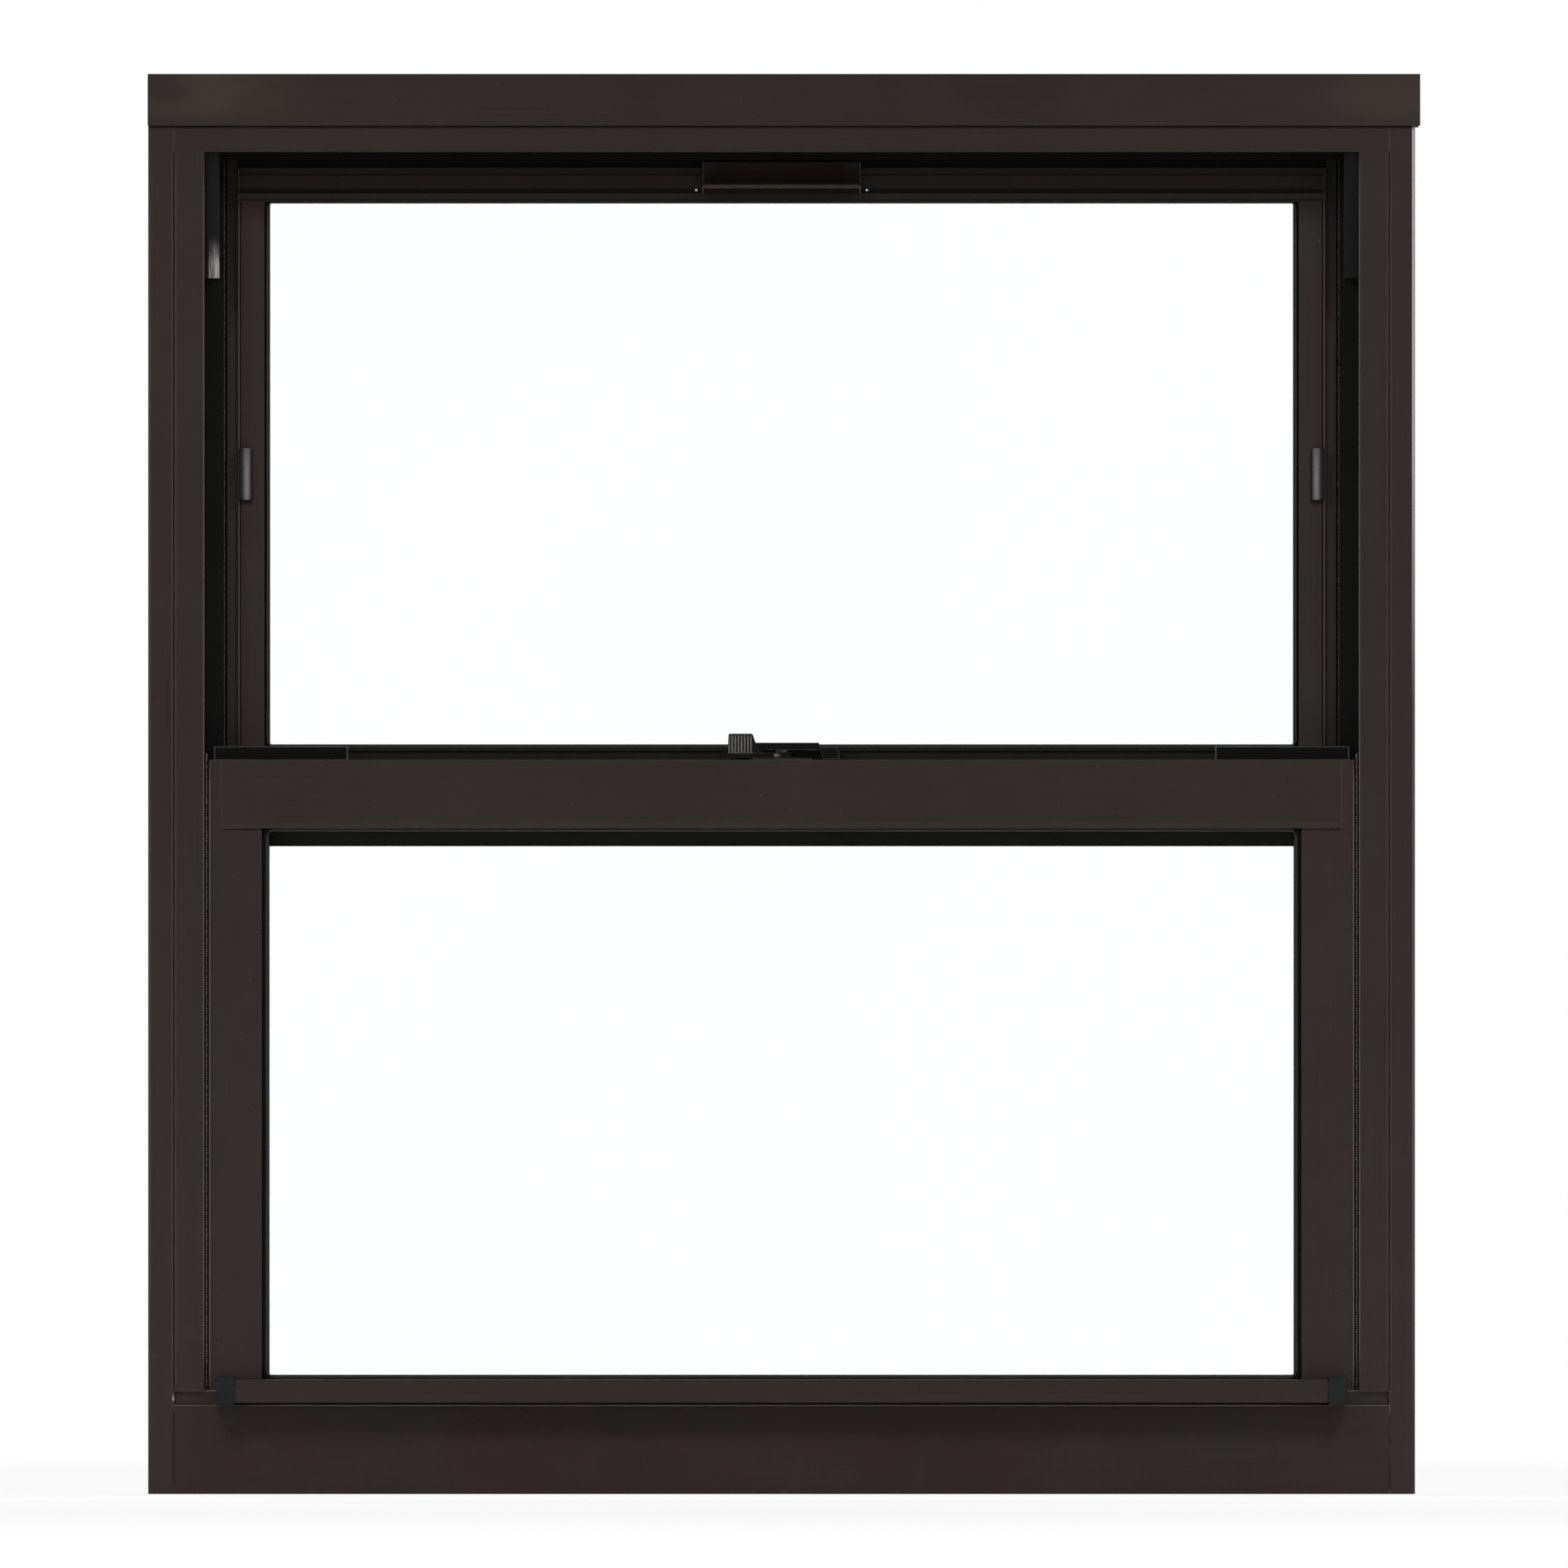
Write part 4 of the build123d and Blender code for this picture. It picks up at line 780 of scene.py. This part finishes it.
def vent_stop_wear():
    """Painted sheen on a vent stop's face, with a painted highlight band down it."""
    low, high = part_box("right_vent_stop")
    middle_y, middle_z, length = (low.y + high.y) / 2, (low.z + high.z) / 2, high.z - low.z
    return (
        # Painted sheen over the face, then a painted highlight band.
        mark((low.x + 4.0 * MM, middle_y, middle_z), (5.0 * MM, 90 * MM, length * 0.6), VENT_FACE_SHEEN,
             0.8, 0.6, mirrored=True),
        mark((low.x + 3.2 * MM, middle_y, middle_z - 5 * MM), (2.9 * MM, 90 * MM, length * 1.1),
             VENT_BAND_HIGHLIGHT, 0.9, 0.05, mirrored=True))


def lock_wear():
    """Painted glints on the sash lock's rivet and the lever's hub, and painted highlights on the grip's
    ridges.
    """
    low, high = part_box("lock_lever")
    pivot = low.y + 8 * MM
    # Painted glints on the rivet and the hub, painted highlights on the grip's ridges.
    rivet = mark((2.8 * MM, pivot - 3.9 * MM, high.z - 12.4 * MM), (4.4 * MM, 1.8 * MM, 0.8 * MM),
                 LOCK_GLINT, 0.9, 0.1, "Round", 420.0)
    grip = mark((low.x + 9 * MM, pivot - 4 * MM, (low.z + high.z) / 2 + 1.0 * MM),
                (9.8 * MM, 0.46 * MM, 7.0 * MM), GRIP_RIDGE_HIGHLIGHT, 1.0, 0.75, streak=1500.0)
    hub = mark((-4.7 * MM, low.y + 0.8 * MM, low.z + 1.5 * MM), (5.2 * MM, 3.0 * MM, 2.2 * MM),
               LOCK_GLINT, 0.85, 0.0, "Round")
    return rivet, grip, hub


class WINDOW_OT_hardware(bpy.types.Operator):
    """Finish the black mouldings and the sash lock"""

    bl_idname = "window.hardware"
    bl_label = "Black hardware"

    def execute(self, context):
        finish = context.scene.window_finish
        make_groups()
        plastic, enamel = tuple(finish.plastic), tuple(finish.enamel)
        rivet, grip, hub = lock_wear()
        dress(LINERS, surface_material(
            "liner_black", tuple(finish.liner), tone(finish.liner, 0.7), tone(finish.liner, 3), 0.5,
            stretch=ALONG_Z, specular=0.06))
        dress(STOPS, surface_material(
            "stop_black", tone(plastic, 1.5), tone(plastic, 2.4), tone(plastic, 7), 0.3,
            stretch=ALONG_Z, specular=0.14, line_depth=0.12, marks=stop_wear(plastic)))
        dress(LATCHES, surface_material(
            "latch_black", tone(plastic, 0.8), plastic, tone(plastic, 24), 0.36, specular=0.05,
            marks=latch_wear()))
        dress(VENT_STOPS, surface_material(
            "vent_stop_black", tone(plastic, 1.6), tone(plastic, 2.4), tone(plastic, 16), 0.3, specular=0.2,
            marks=vent_stop_wear()))
        dress(CAPS, surface_material(
            "cap_black", tuple(finish.cap), tone(finish.cap, 1.2), tone(finish.cap, 2.2), 0.5,
            specular=0.06))
        # Lock edges lightened strongly: painted highlight with rubbed enamel.
        dress(LOCK, surface_material(
            "lock_enamel", enamel, tone(enamel, 1.3), tone(enamel, 34), 0.36, edge_reach=0.5 * MM,
            rub_and_sheen_share=0.85, marks=(rivet,)))
        dress(("lock_lever",), surface_material(
            "lever_enamel", enamel, tone(enamel, 1.3), tone(enamel, 26), 0.36, stretch=ALONG_Z,
            edge_reach=0.4 * MM, marks=(grip, hub)))
        return {"FINISHED"}


class WINDOW_OT_glazing(bpy.types.Operator):
    """Finish the glass and the bars between the lites"""

    bl_idname = "window.glazing"
    bl_label = "Glass and spacers"

    def execute(self, context):
        finish = context.scene.window_finish
        make_groups()
        dress(GLASS, glass_material(finish))
        dress(SPACERS, surface_material(
            "spacer_metal", tuple(finish.spacer), tone(finish.spacer, 1.3), tone(finish.spacer, 3), 0.45))
        return {"FINISHED"}


class WINDOW_OT_gaskets(bpy.types.Operator):
    """Make the four rounded glazing gaskets"""

    bl_idname = "window.gaskets"
    bl_label = "Glazing gaskets"

    def execute(self, context):
        seals, finish = context.scene.window_seals, context.scene.window_finish
        rubber = rubber_material(finish)
        for sash in ("upper", "lower"):
            for side, facing in (("inner", -1), ("outer", 1)):
                name = sash + "_" + side + "_gasket"
                points, faces, crest = gasket(name, facing, seals)
                piece = put_mesh(sash + "_" + side + "_bead", points, faces, rubber, slot="gasket_rubber",
                                 crest=crest)
                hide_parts(name)
        return {"FINISHED"}


def gasket(name, facing, seals):
    """Rubber section carried round the daylight opening.

    Across the section, u runs outwards from the daylight's edge and v stands off the glass. The
    bead is a full hump, v = fill * height * sin(a) ** 0.7, u = width * (1 - cos a) / 2, on a flange
    that runs under the metal lip. Each u is one ring, and the corner radius grows with u, so the
    rubber bends round a corner that is nearly square at the glass. Along the ring, u wanders by a
    sum of two sines.
    """
    fill, steps_across, steps_up = 0.97, 64, 36
    low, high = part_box(name)
    height = high.y - low.y
    bite = glass_bite(name)
    angle = np.linspace(0, math.pi, 11)
    bead_u = seals.bead_width * (1 - np.cos(angle)) / 2
    bead_v = height * fill * np.sin(angle) ** 0.7
    bead_v[-2:] = seals.flange_height
    u = np.concatenate((bead_u, (bite * fill, bite * fill)))
    v = np.concatenate((bead_v, (seals.flange_height, 0.0)))
    over_bead = np.minimum(u / seals.bead_width, 1)
    radius = seals.daylight_radius + (seals.corner_radius - seals.daylight_radius) * over_bead
    rings = np.stack([rounded_ring(high.x - bite + out, low.z + bite - out, high.z - bite + out, bend,
                                   steps_across, steps_up) for out, bend in zip(u, radius)], axis=1)
    middle = np.array((0.0, (low.z + high.z) / 2))
    outward = rings - middle
    outward /= np.linalg.norm(outward, axis=2, keepdims=True)
    run = np.linspace(0, 2 * math.pi, len(rings), endpoint=False)
    wander = seals.waver * (0.6 * np.sin(9 * run) + 0.4 * np.sin(23 * run + 1.0))
    sway = wander[:, None] * np.sin(math.pi * over_bead)[None, :]
    rings = rings + outward * sway[:, :, None]
    glass_y = high.y if facing < 0 else low.y
    y = np.broadcast_to(glass_y + facing * v[None, :], rings.shape[:2])
    surface = np.stack((rings[..., 0], y, rings[..., 1]), axis=-1).reshape(-1, 3)
    faces = grid_faces(len(rings), len(u), wrap_rows=True, wrap_columns=True)
    # Crest: 1 on top of the bead, where the rubber is paler as painted highlight.
    crest = np.concatenate((np.sin(angle) ** 3, (0.0, 0.0)))
    return surface, faces if facing < 0 else faces[:, ::-1], np.tile(crest, len(rings))


def node_points(name):
    """Points of a CAD node as rows of X, Y and Z."""
    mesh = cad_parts[name].data
    points = np.empty(len(mesh.vertices) * 3)
    mesh.vertices.foreach_get("co", points)
    return points.reshape(-1, 3)


def glass_bite(name):
    """How far the gasket's ring reaches from the glass edge to the daylight's edge."""
    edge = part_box(name)[1].x
    x = np.abs(node_points(name)[:, 0])
    return edge - x[(x < edge - MM) & (x > edge / 2)].max()


class WINDOW_OT_pile(bpy.types.Operator):
    """Make the pile weather seals in both jambs"""

    bl_idname = "window.pile"
    bl_label = "Pile seals"

    def execute(self, context):
        seals, finish = context.scene.window_seals, context.scene.window_finish
        material = pile_material(finish)
        for side in ("left", "right"):
            node_name = side + "_pile_seals"
            brushes = [brush(low, high, seals) for low, high in loose_boxes(node_name)]
            points, faces = join([part for parts, _ in brushes for part in parts])
            crest = np.concatenate([crest for _, crest in brushes])
            piece = put_mesh(side + "_pile_brushes", points, faces, material, slot="pile", smooth=False,
                             crest=crest)
            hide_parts(node_name)
        return {"FINISHED"}


def loose_boxes(name):
    """Lowest and highest corners of the three strips of a node, told apart by their middle in Y."""
    points = node_points(name)
    order = np.unique(np.round(points[:, 1], 5))
    cuts = np.flatnonzero(np.diff(order) > 8 * MM)
    slack = MM / 10
    boxes = []
    for strip in np.split(order, cuts + 1):
        inside = points[(points[:, 1] >= strip[0] - slack) & (points[:, 1] <= strip[-1] + slack)]
        boxes.append((inside.min(axis=0), inside.max(axis=0)))
    return boxes


def brush(low, high, seals):
    """Pile of one seal: a beaded roll of tufts on its backing, with loose fibres on its free side.

    The section is a round roll on a narrow neck, carried along Z. Its reach from the seat is
    depth * (0.82 + 0.4 * swell * ripple), where ripple = sin(2 pi z / pitch) + a seeded random part, so
    each tuft stands out. Above the shut lower sash the room-side pile is clipped short. A fibre is a
    thin three-sided spike with a seeded lean. The crest is 1 on a tuft's painted highlight and 0 on
    the neck's painted shade, and lower on the seals deeper in the jamb, as painted shade there.
    """
    usual_reach, clipped, deep_shade = 0.82, 0.36, 0.55
    roll_middle, roll_half = 0.76, 0.24
    draw = np.random.default_rng(7)
    outer = low[1] > 40 * MM
    stand, across = (1, 0) if outer else (0, 1)
    sign = -1.0 if outer or low[0] > 0 else 1.0
    root = low[stand] if sign > 0 else high[stand]
    depth, width = high[stand] - low[stand], high[across] - low[across]
    middle = (low[across] + high[across]) / 2
    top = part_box("lower_meeting_rail")[1].z + 4.5 * MM if low[1] < -30 * MM else high[2]
    z = np.arange(low[2], high[2], seals.bead_pitch / 3)
    z = np.append(z, high[2])
    ripple = np.sin(2 * math.pi * z / seals.bead_pitch) + 0.5 * draw.normal(0, 1, len(z)).clip(-1, 1)
    reach = depth * np.clip(usual_reach + seals.bead_swell * 0.4 * ripple, 0.5, 0.95)
    if top < high[2]:
        reach = np.where(z > top, clipped * reach, reach)
    angle = np.linspace(-0.8 * math.pi, 0.8 * math.pi, 10)
    out = np.concatenate(([0.0], roll_middle + roll_half * np.cos(angle), [0.0]))
    side = np.concatenate(([-0.1], 0.5 * np.sin(angle), [0.1]))
    round_crest = np.concatenate(([0.0], 0.5 + 0.5 * np.cos(0.9 * angle), [0.0]))
    tuft = np.clip(0.45 + 0.4 * ripple, 0, 1) * (1.0 if top < high[2] else deep_shade)
    points = np.empty((len(z), len(out), 3))
    points[..., stand] = root + sign * reach[:, None] * out[None]
    points[..., across] = middle + 0.96 * width * side[None] * (1 + 0.03 * ripple[:, None]).clip(0, 1.04)
    points[..., 2] = z[:, None]
    roll, faces = closed_tube(points, points[0].mean(axis=0), points[-1].mean(axis=0))
    turned = (sign > 0) == (stand == 0)
    parts = [(roll, faces if turned else faces[:, ::-1])]
    crest = [(tuft[:, None] * round_crest[None]).ravel(), (0.0, 0.0)]
    count = int((top - low[2]) / seals.fibre_pitch)
    start = np.zeros((count, 3))
    start[:, stand] = root + sign * depth * 0.45
    start[:, across] = middle + width * draw.uniform(-0.42, 0.42, count)
    start[:, 2] = np.linspace(low[2] + MM, top - MM, count)
    tip = start.copy()
    tip[:, stand] += sign * depth * draw.uniform(0.3, 0.52, count)
    tip[:, across] += draw.normal(0, 0.25 * MM, count)
    tip[:, 2] += draw.normal(0, 0.35 * MM, count)
    half = seals.fibre_width / 2
    foot = np.zeros((3, 3))
    foot[:, across], foot[:, 2] = (-half, half, 0), (-half, -half, half)
    corners = np.concatenate((start[:, None] + foot[None], tip[:, None]), axis=1)
    spikes = corners.clip(low, high).reshape(-1, 3)
    sides = np.array(((0, 1, 3), (1, 2, 3), (2, 0, 3), (2, 1, 0)))
    normal = np.cross(foot[1] - foot[0], foot[2] - foot[0])
    if normal[stand] * sign < 0:
        sides = sides[:, ::-1]
    parts.append((spikes, (4 * np.arange(count)[:, None, None] + sides[None]).reshape(-1, 3)))
    # Loose fibres: paler tips as painted highlight, darker roots as painted shade.
    crest.append(np.tile((0.2, 0.2, 0.2, 0.8), count))
    return parts, np.concatenate(crest)


class WINDOW_OT_fasteners(bpy.types.Operator):
    """Make the bright pins beside the sash pull"""

    bl_idname = "window.fasteners"
    bl_label = "Pull pins"

    def execute(self, context):
        finish = context.scene.window_finish
        steel = steel_material(finish)
        low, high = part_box("upper_sash_pull")
        rail_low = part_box("upper_top_rail")[0]
        pins = []
        for side in (-1, 1):
            centre = (side * (high.x + 4.2 * MM), rail_low.y + 3.0 * MM, low.z + 2.8 * MM)
            pins.append(revolve(dome(1.35 * MM, 1.3 * MM), centre, (0, -1, 0), 24))
        put_mesh("pull_pins", *join(pins), steel, slot="lock_metal")
        return {"FINISHED"}


def dome(radius, height):
    """Profile of a pin's end from its foot to its pole.

    Over a neck of a share of the height, radius * cos a and height * (neck + (1 - neck) * sin a).
    """
    neck = 0.35
    angle = np.linspace(0, math.pi / 2, 9)
    profile = np.stack((radius * np.cos(angle), height * (neck + (1 - neck) * np.sin(angle))), axis=1)
    return np.concatenate((((0.0, 0.0), (radius, 0.0)), profile))


class WINDOW_OT_studio(bpy.types.Operator):
    """Set the floor, soft lamps, white surround and camera"""

    bl_idname = "window.studio"
    bl_label = "Studio"

    def execute(self, context):
        studio = context.scene.window_studio
        context.scene.view_settings.view_transform = "Standard"
        lay_floor(studio)
        light_surround(studio)
        for name, side in (("left", -1), ("right", 1)):
            jamb = side * 0.45
            for place, front, power in (("room", -1, studio.side_power), ("outdoor", 1, studio.back_power)):
                lamp(name + "_" + place + "_softbox", (side * 1.0, front * 1.4, 1.9), (jamb, 0, 0.5),
                     0.4, 0.6, power, studio.spread)
            lamp(name + "_low_fill", (side * 0.6, -0.42, 0.12), (jamb, 0, 0.3), 0.4, 0.2, studio.low_power)
        aim_camera(studio)
        return {"FINISHED"}


def seen(tree, place):
    """Light Path ends that show the white surround: camera, mirror and glass rays."""
    path = node(tree, "ShaderNodeLightPath", place)
    first = node(tree, "ShaderNodeMath", (place[0] + 1, place[1]), operation="MAXIMUM")
    both = node(tree, "ShaderNodeMath", (place[0] + 2, place[1]), operation="MAXIMUM")
    wire(tree, ((path, "Is Camera Ray"), (first, 0)), ((path, "Is Glossy Ray"), (first, 1)),
         ((first, "Value"), (both, 0)), ((path, "Is Transmission Ray"), (both, 1)))
    return (both, "Value")


def light_surround(studio):
    """White where it is seen, and a plain ambient light on everything else."""
    world = bpy.data.worlds.new("surround")
    bpy.context.scene.world = world
    world.use_nodes = True
    tree = world.node_tree
    tree.nodes.clear()
    white = node(tree, "ShaderNodeBackground", (4, 0), {"Color": (1, 1, 1, 1), "Strength": 1.0})
    soft = node(tree, "ShaderNodeBackground", (4, 1), {"Color": (1, 1, 1, 1), "Strength": studio.ambient})
    mix = node(tree, "ShaderNodeMixShader", (5, 0))
    out = node(tree, "ShaderNodeOutputWorld", (6, 0))
    wire(tree, (seen(tree, (0, 0)), (mix, 0)), ((soft, "Background"), (mix, 1)),
         ((white, "Background"), (mix, 2)), ((mix, "Shader"), (out, "Surface")))


def lay_floor(studio):
    """Large pale floor that keeps the window's soft shadow."""
    material = bpy.data.materials.new("floor")
    material.use_nodes = True
    tree = material.node_tree
    tree.nodes.clear()
    plain = node(tree, "ShaderNodeBsdfDiffuse", (4, 0), {"Color": (*studio.floor_colour, 1)})
    white = node(tree, "ShaderNodeEmission", (4, 1), {"Color": (1, 1, 1, 1), "Strength": 1.0})
    place = node(tree, "ShaderNodeTexCoord", (0, -2))
    reach = node(tree, "ShaderNodeVectorMath", (1, -2), operation="LENGTH")
    fade = node(tree, "ShaderNodeMapRange", (2, -2),
                {"From Min": 0.5, "From Max": 2.2, "To Min": 0.86, "To Max": 1.0})
    share = node(tree, "ShaderNodeMath", (4, -1), operation="MULTIPLY")
    mix = node(tree, "ShaderNodeMixShader", (5, 0))
    out = node(tree, "ShaderNodeOutputMaterial", (6, 0))
    wire(tree, ((place, "Object"), (reach, 0)), ((reach, "Value"), (fade, "Value")),
         ((fade, "Result"), (share, 1)), (seen(tree, (0, 0)), (share, 0)), ((share, "Value"), (mix, 0)),
         ((plain, "BSDF"), (mix, 1)), ((white, "Emission"), (mix, 2)), ((mix, "Shader"), (out, "Surface")))
    reach = np.linspace(-8, 8, 9)
    x, y = (a.ravel() for a in np.meshgrid(reach, reach, indexing="ij"))
    floor = put_mesh("floor", np.stack((x, y, np.full_like(x, -0.2 * MM)), axis=1),
                     grid_faces(9, 9)[:, ::-1], material, body=None)


def lamp(name, place, target, width, height, power, spread=math.pi):
    """Rectangular softbox that faces its target and doesn't show in or through the glass."""
    data = bpy.data.lights.new(name, "AREA")
    data.shape = "RECTANGLE"
    data.size, data.size_y, data.energy, data.spread = width, height, power, spread
    made = bpy.data.objects.new(name, data)
    bpy.context.scene.collection.objects.link(made)
    made.location = place
    made.visible_camera = made.visible_transmission = made.visible_glossy = False
    direction = np.array(target, float) - np.array(place, float)
    made.rotation_mode = "QUATERNION"
    made.rotation_quaternion = Vector(direction).to_track_quat("-Z", "Y")


def aim_camera(studio):
    """Long lens square to the room face."""
    data = bpy.data.cameras.new("camera")
    data.sensor_width = 36.0
    data.lens = data.sensor_width * studio.distance / studio.picture_width
    data.clip_end = 4 * studio.distance
    camera = bpy.data.objects.new("camera", data)
    bpy.context.scene.collection.objects.link(camera)
    x, y, z = studio.centre
    camera.location = (x, y - studio.distance, z)
    camera.rotation_euler = (math.radians(90), 0, 0)
    bpy.context.scene.camera = camera


OPERATORS = (WINDOW_OT_bronze, WINDOW_OT_hardware, WINDOW_OT_glazing, WINDOW_OT_gaskets, WINDOW_OT_pile,
             WINDOW_OT_fasteners, WINDOW_OT_studio)


class WINDOW_PT_panel(bpy.types.Panel):
    """Lists the window's steps and sizes"""

    bl_label = "Double hung window"
    bl_idname = "WINDOW_PT_panel"
    bl_space_type = "VIEW_3D"
    bl_region_type = "UI"
    bl_category = "Window"

    def draw(self, context):
        for operator in OPERATORS:
            self.layout.operator(operator.bl_idname)
        for group in (context.scene.window_finish, context.scene.window_seals, context.scene.window_studio):
            box = self.layout.box()
            for key in type(group).__annotations__:
                box.prop(group, key)


CLASSES = (WindowFinish, WindowSeals, WindowStudio, *OPERATORS, WINDOW_PT_panel)


def register():
    """Adds the classes and the scene's settings."""
    for cls in CLASSES:
        bpy.utils.register_class(cls)
    bpy.types.Scene.window_finish = PointerProperty(type=WindowFinish)
    bpy.types.Scene.window_seals = PointerProperty(type=WindowSeals)
    bpy.types.Scene.window_studio = PointerProperty(type=WindowStudio)


def unregister():
    """Takes the settings and the classes away."""
    del bpy.types.Scene.window_studio
    del bpy.types.Scene.window_seals
    del bpy.types.Scene.window_finish
    for cls in reversed(CLASSES):
        bpy.utils.unregister_class(cls)


def main():
    """Runs each step in order."""
    register()
    for step in (bpy.ops.window.bronze, bpy.ops.window.hardware, bpy.ops.window.glazing,
                 bpy.ops.window.gaskets, bpy.ops.window.pile, bpy.ops.window.fasteners,
                 bpy.ops.window.studio):
        step()


if __name__ == "__main__":
    main()
